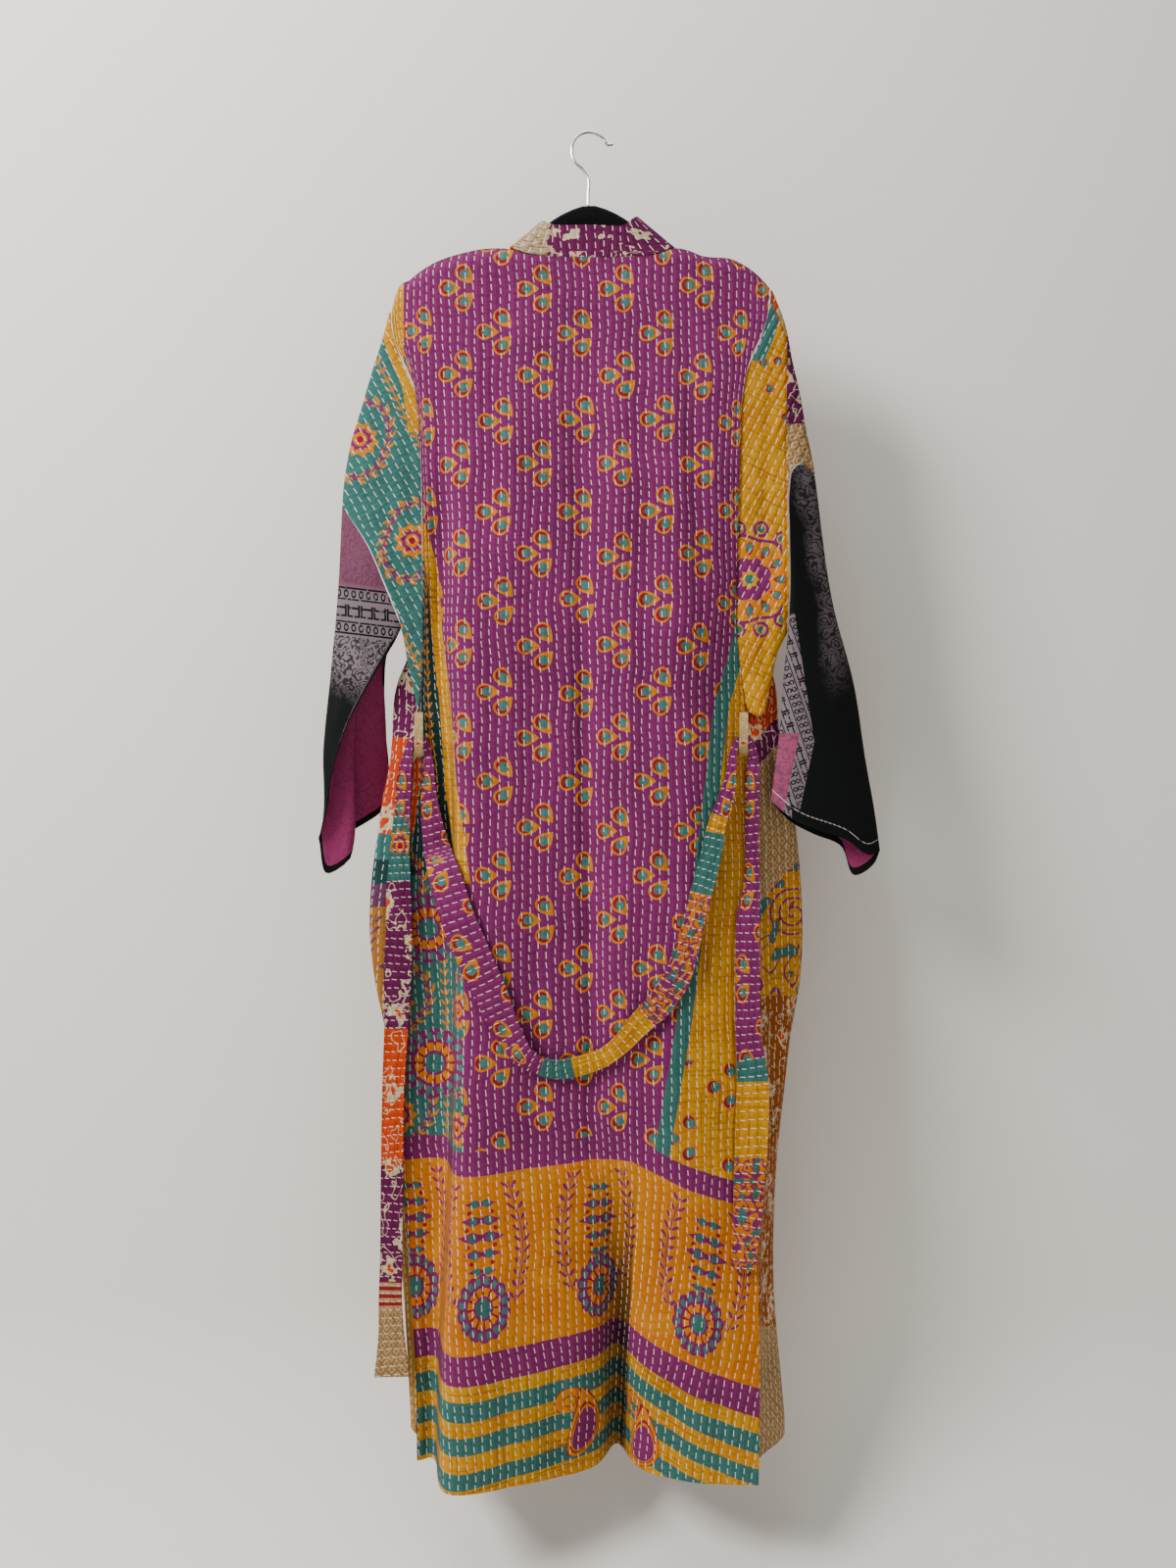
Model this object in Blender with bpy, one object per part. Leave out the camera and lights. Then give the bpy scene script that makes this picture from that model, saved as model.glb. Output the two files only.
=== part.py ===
# A long quilted kimono coat on a slim hanger, seen from its back.
# The back of the coat faces -Y and up is +Z. The origin is inside the top of the hanger's hook.
# Tables are in millimetres. Their x and z are outline sizes taken straight from the front, as they
# stand on the hanger's own plane y = 0, and seat() draws what lies nearer or further in proportion.

import math

import bmesh
import bpy
import numpy as np

MM = 0.001
VIEW_DISTANCE = 1370.0
VIEW_X = -2.0
VIEW_Z = -754.0

QUILT = 2.0
SARI = 1.2
BELT = 3.2
SEAM_GAP = 0.3
BACK_HEM_Z = -1547.0
FRONT_HEM_Z = -1516.0
SHOULDER_ROUND = 13.0
SHOULDER_BLEND = 90.0
UNDERARM_Z = -668.0

# Top edge of the back: shoulders over the hanger, neckline in between.
# Columns: x, z, y.
SHOULDER = (
    (-230, -204, 0), (-226, -188, 0), (-208, -168, 0), (-188, -153, 0), (-149, -138, 0),
    (-111, -132, 0), (-93, -133, -4), (-75, -138, -9), (-40, -141, -12), (0, -142, -12),
    (45, -141, -12), (80, -138, -9), (98, -132, -4), (116, -135, 0), (128, -140, 0),
    (171, -147, 0), (197, -165, 0), (209, -178, 0),
)

# Back panel, one row for each level. The pleat stands forward of the left side, and the fold is
# the deep inward one that opens towards the hem.
BACK_STATIONS = ("left", "foot", "pleat", "panel", "lip", "fold", "turn", "yoke", "right")
BACK_TOP_X = (-230, -202, -165, -65, -2, 30, 60, 117, 209)
BACK_CELLS = (4, 4, 4, 3, 3, 3, 3, 5)
BACK_LEVELS = (-204, -298, -389, -480, -571, -674, -754, -868, -982, -1096, -1187, -1312, -1438, -1580)
BACK_X = {
    "left": (-230, -203, -196, -195, -194, -197, -198, -210, -215, -218, -218, -210, -202, -200),
    "foot": (-202, -185, -171, -171, -173, -168, -164, -162, -162, -164, -168, -173, -178, -180),
    "pleat": (-168, -150, -146, -146, -146, -146, -146, -146, -147, -148, -150, -155, -161, -164),
    "panel": (-65, -65, -65, -65, -65, -65, -65, -65, -65, -66, -67, -68, -70, -71),
    "lip": (-2, -2, -2, -2, -2, -2, -2, -2, -2, -2, -2, 0, 2, 3),
    "fold": (30, 30, 30, 30, 30, 30, 30, 30, 30, 30, 30, 30, 31, 32),
    "turn": (60, 60, 60, 60, 60, 60, 60, 60, 60, 60, 60, 60, 60, 60),
    "yoke": (117, 115, 113, 112, 112, 113, 115, 116, 117, 118, 118, 118, 117, 117),
    "right": (202, 178, 174, 171, 170, 181, 186, 190, 194, 201, 203, 196, 197, 196),
}
BACK_Y = {
    "left": (-5, -10, -12, -12, -9, -1, 0, 4, 8, 10, 12, 12, 12, 11),
    "foot": (-9, -14, -14, -8, -2, 2, 4, 6, 10, 12, 14, 14, 14, 13),
    "pleat": (-11, -17, -22, -27, -32, -35, -38, -41, -44, -47, -49, -51, -53, -55),
    "panel": (-12, -18, -24, -28, -31, -34, -37, -40, -42, -44, -45, -44, -40, -32),
    "lip": (-11, -14, -19, -23, -26, -29, -32, -35, -37, -39, -38, -29, -14, 2),
    "fold": (-12, -18, -24, -28, -31, -34, -37, -40, -42, -42, -36, -6, 28, 54),
    "turn": (-12, -18, -25, -29, -32, -35, -38, -41, -43, -44, -42, -31, -17, -2),
    "yoke": (-11, -17, -24, -29, -32, -35, -38, -41, -44, -46, -46, -43, -38, -29),
    "right": (-5, -10, -12, -12, -9, -4, -8, -14, -20, -24, -28, -32, -36, -38),
}

# Fronts, which roll out past the side seams and turn back against the wall side.
# Columns: z, roll_x, roll_y, back_x, back_y, edge_x, edge_y.
FRONT_LEFT = (
    (-204, -200, 7, -155, 10, -92, 12),
    (-389, -178, 13, -140, 15, -88, 16),
    (-526, -184, 14, -150, 18, -84, 19),
    (-594, -205, 13, -190, 19, -82, 20),
    (-640, -224, 14, -206, 22, -80, 22),
    (-708, -231, 13, -214, 24, -78, 25),
    (-754, -239, 13, -222, 27, -77, 28),
    (-811, -246, 14, -227, 33, -75, 33),
    (-868, -253, 17, -235, 39, -74, 39),
    (-925, -255, 20, -238, 43, -73, 43),
    (-982, -249, 22, -231, 45, -71, 45),
    (-1039, -237, 24, -219, 46, -70, 46),
    (-1096, -229, 26, -211, 46, -69, 46),
    (-1210, -225, 27, -206, 46, -66, 46),
    (-1324, -217, 28, -198, 46, -63, 46),
    (-1491, -207, 28, -188, 46, -60, 46),
)
FRONT_RIGHT = (
    (-204, 185, 7, 150, 10, 95, 12),
    (-389, 160, 13, 130, 15, 90, 16),
    (-526, 162, 14, 135, 18, 86, 19),
    (-594, 196, 8, 180, 18, 84, 20),
    (-628, 212, 11, 195, 22, 83, 22),
    (-691, 219, 16, 203, 28, 80, 26),
    (-754, 231, 20, 215, 36, 78, 32),
    (-811, 239, 23, 222, 42, 76, 38),
    (-868, 244, 24, 226, 45, 74, 42),
    (-925, 246, 25, 228, 46, 73, 44),
    (-982, 243, 26, 225, 46, 71, 45),
    (-1039, 233, 25, 214, 46, 70, 46),
    (-1096, 226, 24, 207, 46, 69, 46),
    (-1210, 214, 22, 196, 46, 66, 46),
    (-1324, 212, 20, 194, 46, 63, 46),
    (-1491, 225, 20, 204, 46, 60, 46),
)

# Upper sleeves are quilted, lower sleeves are thin sari cloth. Points are x, z, y. The gap rows
# hold a part of the elbow seam's length and how far the lower sleeve keeps off it in x and z.
SLEEVE_LEFT = {
    "fold_upper": ((-233, -206, 0), (-240, -236, 0), (-253, -277, 1), (-264, -315, 2),
                   (-276, -355, 3), (-285, -406, 4), (-287, -432, 4)),
    "underarm": ((-197, -668, 0), (-204, -645, -1), (-210, -618, -3), (-217, -571, -4)),
    "elbow": ((-287, -432, 4), (-259, -474, -1), (-236, -526, -3), (-217, -571, -4)),
    "fold_lower": ((-287, -432, 4), (-292, -526, 4), (-301, -628, 3), (-309, -708, 2),
                   (-313, -811, 1), (-315, -818, 1)),
    "inner": ((-217, -571, -4), (-227, -588, -6)),
    "mouth_near": ((-315, -818, 1), (-307, -785, -1), (-303, -754, -2), (-285, -691, -4),
                   (-264, -651, -5), (-238, -606, -6), (-227, -588, -6)),
    "mouth_far": ((-315, -818, 1), (-306, -858, 3), (-276, -834, 8), (-286, -817, 16),
                  (-262, -800, 26), (-240, -784, 34), (-238, -720, 34), (-241, -650, 24),
                  (-238, -608, 8), (-227, -588, -6)),
    "gap": ((0.0, -0.5, -0.3), (1.0, -2.2, -0.6)),
    "seam_turn": 0,
}
SLEEVE_RIGHT = {
    "fold_upper": ((214, -185, 0), (226, -218, 0), (235, -263, 1), (243, -298, 1),
                   (251, -343, 2), (257, -372, 2), (261, -394, 2)),
    "underarm": ((186, -668, -1), (197, -674, -3), (209, -640, -4), (218, -600, -5), (229, -577, -5)),
    "elbow": ((261, -394, 2), (253, -386, -1), (244, -380, -4), (236, -386, -6), (231, -408, -7),
              (231, -460, -8), (232, -520, -8), (229, -577, -5)),
    "fold_lower": ((261, -394, 2), (283, -548, 0), (307, -640, -2), (320, -725, -4),
                   (331, -788, -5), (337, -831, -5)),
    "inner": ((229, -577, -5), (226, -628, -7), (222, -685, -9), (215, -742, -10), (211, -774, -10)),
    "mouth_near": ((337, -831, -5), (328, -836, -8), (300, -820, -12), (238, -796, -14), (211, -774, -10)),
    "mouth_far": ((337, -831, -5), (331, -846, -2), (308, -860, 2), (292, -826, 3),
                  (260, -812, 2), (234, -798, -1), (211, -774, -10)),
    "gap": ((0.0, 0.2, -2.2), (0.25, 1.8, -2.0), (1.0, 2.2, -1.4)),
    "seam_turn": 0,
}
SLEEVE_DEPTH = {"armhole": 9.0, "elbow": 8.0, "mouth": 7.0}
RING_STEPS = 24
SEAM_SLIP = 0.035
ARMHOLE_GAP = 0.8
ARMHOLE_ENDS = 1.8
SHOULDER_WRAP = 0.03

# Collar band from hem to hem round the neck: sewn edge and free edge, x, z, y each.
# Columns: seam_x, seam_z, seam_y, free_x, free_z, free_y.
COLLAR = (
    (-88, -300, 14.5, -50, -300, 16), (-90, -190, 13.5, -50, -186, 15), (-91.5, -150, 10, -52, -118, 13),
    (-92.5, -132, 4, -55, -103, 6), (-92, -130.5, -4, -56, -100, -3), (-75, -136.4, -9.4, -50, -101, -9),
    (-40, -140.2, -12.5, -40, -104, -12), (0, -141.2, -12.5, 0, -104, -12.5),
    (42, -140.2, -12.5, 40, -104, -12), (80, -136.8, -9.6, 51, -96, -9),
    (97, -130.5, -4, 55, -95, -3), (98.5, -132, 4, 56, -97, 6), (97, -150, 10, 54, -112, 13),
    (93, -190, 13.5, 52, -182, 15), (91, -300, 14.5, 52, -300, 16),
)
BAND_WIDTH = 40.0

# Belt: middle line x, z, how far it stands off the coat's back, its width as it lies and its turn
# about that line in degrees.
# Columns: x, z, off, width, turn.
BELT_DRAPE = (
    (-198.7, -700, 3.8, 6, 0), (-195, -700.5, 3.8, 6, 0), (-191, -705, 3.8, 7, 0),
    (-188.5, -718, 4, 9, 0), (-186.5, -775, 5, 20, 0),
    (-178, -828, 8, 31, 0), (-167, -866, 5, 38, 0), (-155, -906, 5, 40, 0),
    (-139, -945, 5, 41, 0), (-128, -971, 5, 41, 0), (-115, -998, 5, 39, 0),
    (-104, -1024, 5, 35, 0), (-91, -1050, 6, 30, 6), (-79, -1068, 7, 26, 10),
    (-56, -1083, 7, 21, 12), (-30, -1086, 7, 22, 8), (-8, -1081, 7, 22, 4), (15, -1073, 6, 21, 0),
    (33, -1060, 6, 22, 0), (58, -1033, 6, 27, 0), (82, -1009, 5, 31, 0), (100, -983, 5, 31, 0),
    (113, -945, 5, 28, 0), (124, -906, 5, 24, 0), (130, -880, 5, 25, 0),
    (137, -854, 5, 24, 0), (143, -828, 5, 23, 0), (148, -801, 5, 20, 0),
    (156, -780, 5, 20, 0), (164, -749, 5, 13, 0), (166.5, -722, 4, 9, 0), (168.3, -712, 4, 7, 0), (171, -704, 4, 6, 0),
    (175, -700.5, 4, 5, 0), (178.7, -700, 4, 5, 0),
)
BELT_END_LEFT = (
    (-199.3, -700, 3.8, 6, 0), (-203, -700.5, 3.8, 6, 0), (-207.5, -705, 4, 7, 0), (-211, -717, 5, 10, 0),
    (-215, -742, 7, 16, 0), (-217, -767, 7, 18, 0), (-219, -801, 7, 20, 0), (-221, -834, 7, 23, 0),
    (-222, -868, 8, 28, 0), (-222, -937, 8, 31, 0), (-223, -962, 8, 32, 0), (-225, -1039, 8, 28, 0),
    (-228, -1096, 8, 26, 0), (-230, -1210, 8, 26, 0), (-231, -1312, 8, 26, 0), (-232, -1358, 8, 27, 0),
    (-231, -1389, 8, 29, 0), (-230, -1443, 8, 41, 0),
)
BELT_END_RIGHT = (
    (179.3, -700, 4.4, 6, 0), (183, -700.5, 4.4, 6, 0), (187, -705, 4.6, 7, 0), (190, -717, 5, 10, 0),
    (189, -749, 6, 16, 0), (189, -801, 6, 16, 0), (189, -854, 6, 17, 0), (188, -880, 6, 20, 0),
    (185, -901, 6, 25, 0), (184, -959, 6, 28, 0), (184, -1010, 6, 28, 0), (186, -1062, 6, 31, 0),
    (189, -1089, 6, 35, 0), (189, -1141, 6, 38, 0), (188, -1175, 6, 37, 0), (186, -1210, 6, 36, 0),
    (184, -1246, 6, 34, 0), (181, -1280, 6, 32, 0), (179, -1318, 6, 29, 0),
)
BELT_REACH = 9.0
LOOP_WIDTH = 10.0
LOOP_LEFT = {"x": -199.0, "top": -671.0, "bottom": -722.0, "rise": 12.0}
LOOP_RIGHT = {"x": 179.0, "top": -671.0, "bottom": -720.0, "rise": 18.0}

# Hanger: top line and height of the arms, which stay below the shoulder cloth and deepen under the hook.
ARM_THICK = 5.0
# Columns: x, z, height.
ARMS = (
    (-194, -174, 13), (-187, -165, 13), (-149, -148, 13), (-111, -145, 13), (-94, -144, 13),
    (-80, -138, 13), (-64, -123, 15), (-47, -104, 20), (-22, -88, 25), (0, -81, 26), (22, -88, 25),
    (49, -105, 20), (66, -121, 15), (82, -134, 13), (98, -142, 13), (128, -150, 13), (170, -158, 13),
    (186, -171, 13),
)
WIRE = 3.6
# Columns: x, z.
HOOK = (
    (-2, -84), (-2, -70), (-2, -50), (-8, -40), (-18, -30), (-21, -20), (-20, -10), (-13, 0),
    (-4, 3.8), (6, 2.5), (15, -3), (21, -11), (27, -10),
)


def seat(points):
    """Move outline points to their real place: x and z spread from the eye in proportion to depth."""
    points = np.asarray(points, dtype=float)
    nearness = 1.0 + points[..., 1] / VIEW_DISTANCE
    placed = points.copy()
    placed[..., 0] = VIEW_X + (points[..., 0] - VIEW_X) * nearness
    placed[..., 2] = VIEW_Z + (points[..., 2] - VIEW_Z) * nearness
    return placed


def hem_seen(hem_z, depth):
    """Level at which a hem of one real height stands in the outline, at each depth."""
    return VIEW_Z + (hem_z - VIEW_Z) / (1.0 + np.asarray(depth) / VIEW_DISTANCE)


def curve(knots, values, places):
    """Smooth curve through values at knots (Hermite spans with three-point slopes), read at places."""
    knots = np.asarray(knots, dtype=float)
    values = np.asarray(values, dtype=float)
    shape = values.shape[1:]
    values = values.reshape(len(knots), -1)
    steps = np.diff(knots)[:, None]
    slopes = np.diff(values, axis=0) / steps
    tangents = np.empty_like(values)
    tangents[0] = slopes[0]
    tangents[-1] = slopes[-1]
    tangents[1:-1] = (slopes[:-1] * steps[1:] + slopes[1:] * steps[:-1]) / (steps[:-1] + steps[1:])
    places = np.clip(np.asarray(places, dtype=float), knots[0], knots[-1])
    span = np.clip(np.searchsorted(knots, places, side="right") - 1, 0, len(knots) - 2)
    width = steps[span]
    part = ((places - knots[span])[:, None]) / width
    read = (
        (2 * part**3 - 3 * part**2 + 1) * values[span]
        + (part**3 - 2 * part**2 + part) * width * tangents[span]
        + (3 * part**2 - 2 * part**3) * values[span + 1]
        + (part**3 - part**2) * width * tangents[span + 1]
    )
    return read.reshape((len(places),) + shape)


def lengths(points):
    """Running length along points, from 0 to 1."""
    run = np.concatenate([[0.0], np.cumsum(np.linalg.norm(np.diff(points, axis=0), axis=1))])
    return run / run[-1]


def along(points, places):
    """Points at the given parts of the length of a smooth line."""
    points = np.asarray(points, dtype=float)
    return curve(lengths(points), points, places)


def xyz(points):
    """Table points x, z, y as x, y, z."""
    points = np.asarray(points, dtype=float)
    return points[:, [0, 2, 1]]


def smoothstep(value):
    value = np.clip(value, 0.0, 1.0)
    return value * value * (3.0 - 2.0 * value)


def surface_normals(grid, across=None, ghost_first=None, ghost_last=None):
    """Unit normals of a grid of points, rows by columns. Ghost columns stand beyond a seam."""
    down = np.gradient(grid, axis=0)
    if across is None:
        across = np.gradient(grid, axis=1)
        if ghost_first is not None:
            across[:, 0] = grid[:, 1] - ghost_first
        if ghost_last is not None:
            across[:, -1] = ghost_last - grid[:, -2]
    normal = np.cross(across, down)
    return normal / np.linalg.norm(normal, axis=2, keepdims=True)


def make_material(name, colour, roughness, metallic=0.0):
    material = bpy.data.materials.new(name)
    material.use_nodes = True
    shader = material.node_tree.nodes["Principled BSDF"]
    shader.inputs["Base Color"].default_value = (*colour, 1.0)
    shader.inputs["Roughness"].default_value = roughness
    shader.inputs["Metallic"].default_value = metallic
    material.diffuse_color = (*colour, 1.0)
    return material


def make_object(name, points, faces, material):
    """Closed body from points in millimetres, faces out and shaded smooth."""
    mesh = bpy.data.meshes.new(name)
    mesh.from_pydata([tuple(p) for p in np.asarray(points) * MM], [], faces)
    body = bmesh.new()
    body.from_mesh(mesh)
    bmesh.ops.recalc_face_normals(body, faces=body.faces)
    body.to_mesh(mesh)
    body.free()
    mesh.shade_smooth()
    mesh.set_sharp_from_angle(angle=math.radians(50))
    mesh.materials.append(material)
    made = bpy.data.objects.new(name, mesh)
    bpy.context.collection.objects.link(made)
    return made


def wall(name, grid, thick, material, ring=False, normal=None):
    """Cloth of one thickness on a grid of middle points; a ring grid closes on itself."""
    if normal is None:
        normal = surface_normals(grid)
    rows, columns = grid.shape[:2]
    outer = grid + normal * thick / 2.0
    inner = grid - normal * thick / 2.0
    points = np.concatenate([outer.reshape(-1, 3), inner.reshape(-1, 3)])
    shift = rows * columns
    faces = []
    wide = columns if ring else columns - 1
    for r in range(rows - 1):
        for c in range(wide):
            a = r * columns + c
            b = r * columns + (c + 1) % columns
            d = a + columns
            e = b + columns
            faces.append((a, b, e, d))
            faces.append((a + shift, d + shift, e + shift, b + shift))
    for r in (0, rows - 1):
        for c in range(wide):
            a = r * columns + c
            b = r * columns + (c + 1) % columns
            faces.append((a, a + shift, b + shift, b))
    if not ring:
        for c in (0, columns - 1):
            for r in range(rows - 1):
                a = r * columns + c
                b = a + columns
                faces.append((a, b, b + shift, a + shift))
    return make_object(name, points, faces, material)


def back_section(level):
    """Nine stations of the back at levels, as arrays of x and y."""
    order = -np.asarray(BACK_LEVELS, dtype=float)
    x = np.array([BACK_X[s] for s in BACK_STATIONS], dtype=float).T
    y = np.array([BACK_Y[s] for s in BACK_STATIONS], dtype=float).T
    return curve(order, x, -level), curve(order, y, -level)


def spread(cells):
    """Station places of columns: cells in each span between stations."""
    places = [k + i / n for k, n in enumerate(cells) for i in range(n)]
    return np.array(places + [float(len(cells))])


BACK_PLACES = spread(BACK_CELLS)
FRONT_PARTS = np.linspace(0.0, 1.0, 15)


def back_at(level, place):
    """Back panel at levels and one station place, as x and y."""
    stations = np.arange(len(BACK_STATIONS), dtype=float)
    x, y = back_section(level)
    return curve(stations, x.T, [place])[0], curve(stations, y.T, [place])[0]


def back_depth(x, level):
    """Depth of the back panel's middle at one x and level."""
    section_x, section_y = back_section(np.array([level], dtype=float))
    stations = np.arange(len(BACK_STATIONS), dtype=float)
    places = np.linspace(0.0, len(BACK_STATIONS) - 1.0, 161)
    across_x = curve(stations, section_x[0], places)
    across_y = curve(stations, section_y[0], places)
    return np.interp(x, np.maximum.accumulate(across_x), across_y)


def below_underarm(level):
    return smoothstep((UNDERARM_Z + 2.0 - level) / 32.0)


def side_seam(level, right):
    """Side of a front: armhole edge above the underarm, behind the sleeve; seam to the back below."""
    x, y = back_section(level)
    station = -1 if right else 0
    below = below_underarm(level)
    outward = SEAM_GAP * (2.0 if right else -2.0)
    seam_x = x[:, station] + outward * below
    behind = np.maximum(-y[:, station], 9.5 * smoothstep((-215.0 - level) / 60.0))
    seam_y = y[:, station] * below + behind * (1.0 - below)
    return seam_x, seam_y


def front_at(right, level, part):
    """Front panel at levels and one part of its width, as x and y."""
    table = np.array(FRONT_RIGHT if right else FRONT_LEFT, dtype=float)
    read = curve(-table[:, 0], table[:, 1:], -level)
    seam_x, seam_y = side_seam(level, right)
    lines = np.stack([np.stack([seam_x, seam_y], axis=1), read[:, 0:2], read[:, 2:4], read[:, 4:6]], axis=1)
    points = np.array([along(line, [part])[0] for line in lines])
    return points[:, 0], points[:, 1]


def rows_down(top, bottom):
    """Row places from the top edge down: close at the shoulder, wide below."""
    close = np.array([0.0, 3.5, 8.0, 15.0, 28.0, 48.0, 75.0])
    wide = np.linspace(112.0, 1380.0, 25)
    steps = np.concatenate([close, wide]) / 1380.0
    return top + (bottom - top) * steps[:, None]


def drape(top, hem_z, panel_at, places):
    """Panel grid from its top edge (x, y, z) to a hem of one real height. panel_at(levels, place)
    gives x and y down a column. Near the top the cloth rounds over from the edge to that section."""
    low = np.array([hem_z])
    hem = hem_seen(hem_z, np.array([panel_at(low, p)[1][0] for p in places]))
    level = rows_down(top[:, 2], hem)
    grid = np.empty(level.shape + (3,))
    for c, place in enumerate(places):
        x, y = panel_at(level[:, c], place)
        drop = top[c, 2] - level[:, c]
        over = np.sin(np.minimum(drop / SHOULDER_ROUND, 1.0) * math.pi / 2.0)
        lower = smoothstep(drop / SHOULDER_BLEND)
        grid[:, c, 0] = top[c, 0] * (1.0 - lower) + x * lower
        grid[:, c, 1] = top[c, 1] * (1.0 - over) + y * over
        grid[:, c, 2] = level[:, c]
    return grid


def beyond_seam(column, inside, neighbour_at, place):
    """Ghost column past a side seam: the neighbour's point below the underarm, else straight on."""
    level = column[:, 2]
    x, y = neighbour_at(level, place)
    other = np.stack([x, y, level], axis=1)
    below = below_underarm(level)[:, None]
    return (2.0 * column - inside) * (1.0 - below) + other * below


def shoulder_line(x):
    """Shoulder and neckline at x, as z and y."""
    table = np.array(SHOULDER, dtype=float)
    z = curve(table[:, 0], table[:, 1], x)
    y = curve(table[:, 0], table[:, 2], x)
    return z, np.minimum(y, 0.0)


def upright_top(normal, weight):
    """Turn the normals of the top edge upright, so that back and front meet face to face."""
    up = np.array([0.0, 0.0, 1.0])
    sign = np.sign(normal[1, :, 2:3] + 1e-9)
    mixed = normal[0] * (1.0 - weight[:, None]) + sign * up * weight[:, None]
    normal[0] = mixed / np.linalg.norm(mixed, axis=1, keepdims=True)


def build_back(material):
    stations = np.arange(len(BACK_STATIONS), dtype=float)
    top_x = curve(stations, BACK_TOP_X, BACK_PLACES)
    top_z, top_y = shoulder_line(top_x)
    top = np.stack([top_x, top_y - SEAM_GAP, top_z], axis=1)
    grid = drape(top, BACK_HEM_Z, back_at, BACK_PLACES)
    first = beyond_seam(grid[:, 0], grid[:, 1], lambda z, p: front_at(False, z, p), FRONT_PARTS[1])
    last = beyond_seam(grid[:, -1], grid[:, -2], lambda z, p: front_at(True, z, p), FRONT_PARTS[1])
    normal = surface_normals(seat(grid), None, seat(first), seat(last))
    upright_top(normal, 1.0 - smoothstep(-top_y / 6.0))
    return wall("back_panel", seat(grid), QUILT, material, normal=normal)


def build_front(name, right, material):
    corner_x = BACK_TOP_X[-1] if right else BACK_TOP_X[0]
    neck_x = 101.0 if right else -95.0
    top_x = corner_x + (neck_x - corner_x) * FRONT_PARTS
    top_z, _ = shoulder_line(top_x)
    top = np.stack([top_x, np.full_like(top_x, SEAM_GAP), top_z], axis=1)
    grid = drape(top, FRONT_HEM_Z, lambda z, p: front_at(right, z, p), FRONT_PARTS)
    place = BACK_PLACES[-2] if right else BACK_PLACES[1]
    first = beyond_seam(grid[:, 0], grid[:, 1], back_at, place)
    normal = surface_normals(seat(grid), None, seat(first), None)
    upright_top(normal, np.ones(len(top_x)))
    return wall(name, seat(grid), QUILT, material, normal=normal)


def coons(top, bottom, left, right, u, w, top_places=None):
    """Patch between four edges: u runs from top to bottom and w from left to right."""
    t = along(top, w) if top_places is None else curve(top_places, top, w)
    b = along(bottom, w)
    l = along(left, u)
    r = along(right, u)
    uu = u[:, None, None]
    ww = w[None, :, None]
    ruled_u = t[None] * (1 - uu) + b[None] * uu
    ruled_w = l[:, None] * (1 - ww) + r[:, None] * ww
    corners = ((t[0] * (1 - ww) + t[-1] * ww) * (1 - uu) + (b[0] * (1 - ww) + b[-1] * ww) * uu)
    return ruled_u + ruled_w - corners


def sleeve_rings(top, near_end, far_end, fold, inner, u, angle, depth_top, depth_end, top_places=None):
    """Rings of a flattened sleeve: angle 0 is the outer fold, pi the underarm, 0 to pi the near side."""
    near_side = angle <= math.pi + 1e-9
    w = (1.0 - np.cos(angle)) / 2.0
    order = np.argsort(w)
    back_order = np.argsort(order)
    near = coons(top, near_end, fold, inner, u, w[order], top_places)[:, back_order]
    far = coons(top, far_end, fold, inner, u, w[order], top_places)[:, back_order]
    rings = np.where(near_side[None, :, None], near, far)
    depth = depth_top + (depth_end - depth_top) * u
    rings[..., 1] -= depth[:, None] * np.sin(angle)[None, :]
    return rings


def sleeve_wall(name, rings_at, angle, thick, material, ring=False):
    """Sleeve wall; its normals are read across a small turn of the ring on each side."""
    small = 0.02
    rings = seat(rings_at(np.mod(angle, 2.0 * math.pi)))
    ahead = seat(rings_at(np.mod(angle + small, 2.0 * math.pi)))
    behind = seat(rings_at(np.mod(angle - small, 2.0 * math.pi)))
    normal = surface_normals(rings, across=ahead - behind)
    return wall(name, rings, thick, material, ring=ring, normal=normal)


def armhole(right, seam_part):
    """Armhole from the shoulder point to the underarm just outside the body's edge, with the ring
    places of its points; the stretch before the top seam is short."""
    corner = BACK_TOP_X[-1] if right else BACK_TOP_X[0]
    top = float(shoulder_line([corner])[0][0]) - 2.0
    part = np.concatenate([[0.0, SHOULDER_WRAP], np.linspace(SHOULDER_WRAP, 1.0, 13)[1:]])
    level = top + (UNDERARM_Z - top) * part
    x, _ = back_section(level)
    lower = smoothstep((top - level) / SHOULDER_BLEND)
    x = corner * (1.0 - lower) + x[:, -1 if right else 0] * lower
    gap = ARMHOLE_GAP + ARMHOLE_ENDS * (2.0 * part - 1.0) ** 8
    x = x + gap if right else x - gap
    places = np.interp(part, [0.0, SHOULDER_WRAP, 1.0], [0.0, max(seam_part, SHOULDER_WRAP), 1.0])
    return np.stack([x, np.zeros_like(x), level], axis=1), places


def build_upper_sleeve(side, table, right, back_material, front_material):
    """Quilted upper sleeve in two pieces, which join at the top seam and under the arm."""
    seam_part = (1.0 - math.cos(math.radians(table["seam_turn"]))) / 2.0
    hole, hole_places = armhole(right, seam_part)
    fold = xyz(table["fold_upper"])
    fold[0] = hole[0]
    elbow = xyz(table["elbow"])
    inner = xyz(table["underarm"])
    inner[0] = hole[-1]
    u = np.linspace(0.0, 1.0, 10)
    turn = 2.0 * math.pi / RING_STEPS
    seam = round(math.radians(table["seam_turn"]) / turn)

    def rings_at(angle):
        return sleeve_rings(hole, elbow, elbow, fold, inner, u, angle,
                            SLEEVE_DEPTH["armhole"], SLEEVE_DEPTH["elbow"], hole_places)

    half = RING_STEPS // 2
    for piece, start, end, material in (
        ("back", seam, half, back_material), ("front", half, RING_STEPS + seam, front_material),
    ):
        angle = np.arange(start, end + 1) * turn
        angle[0] += SEAM_SLIP
        angle[-1] -= SEAM_SLIP
        sleeve_wall(f"sleeve_{piece}_{side}", rings_at, angle, QUILT, material)


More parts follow.
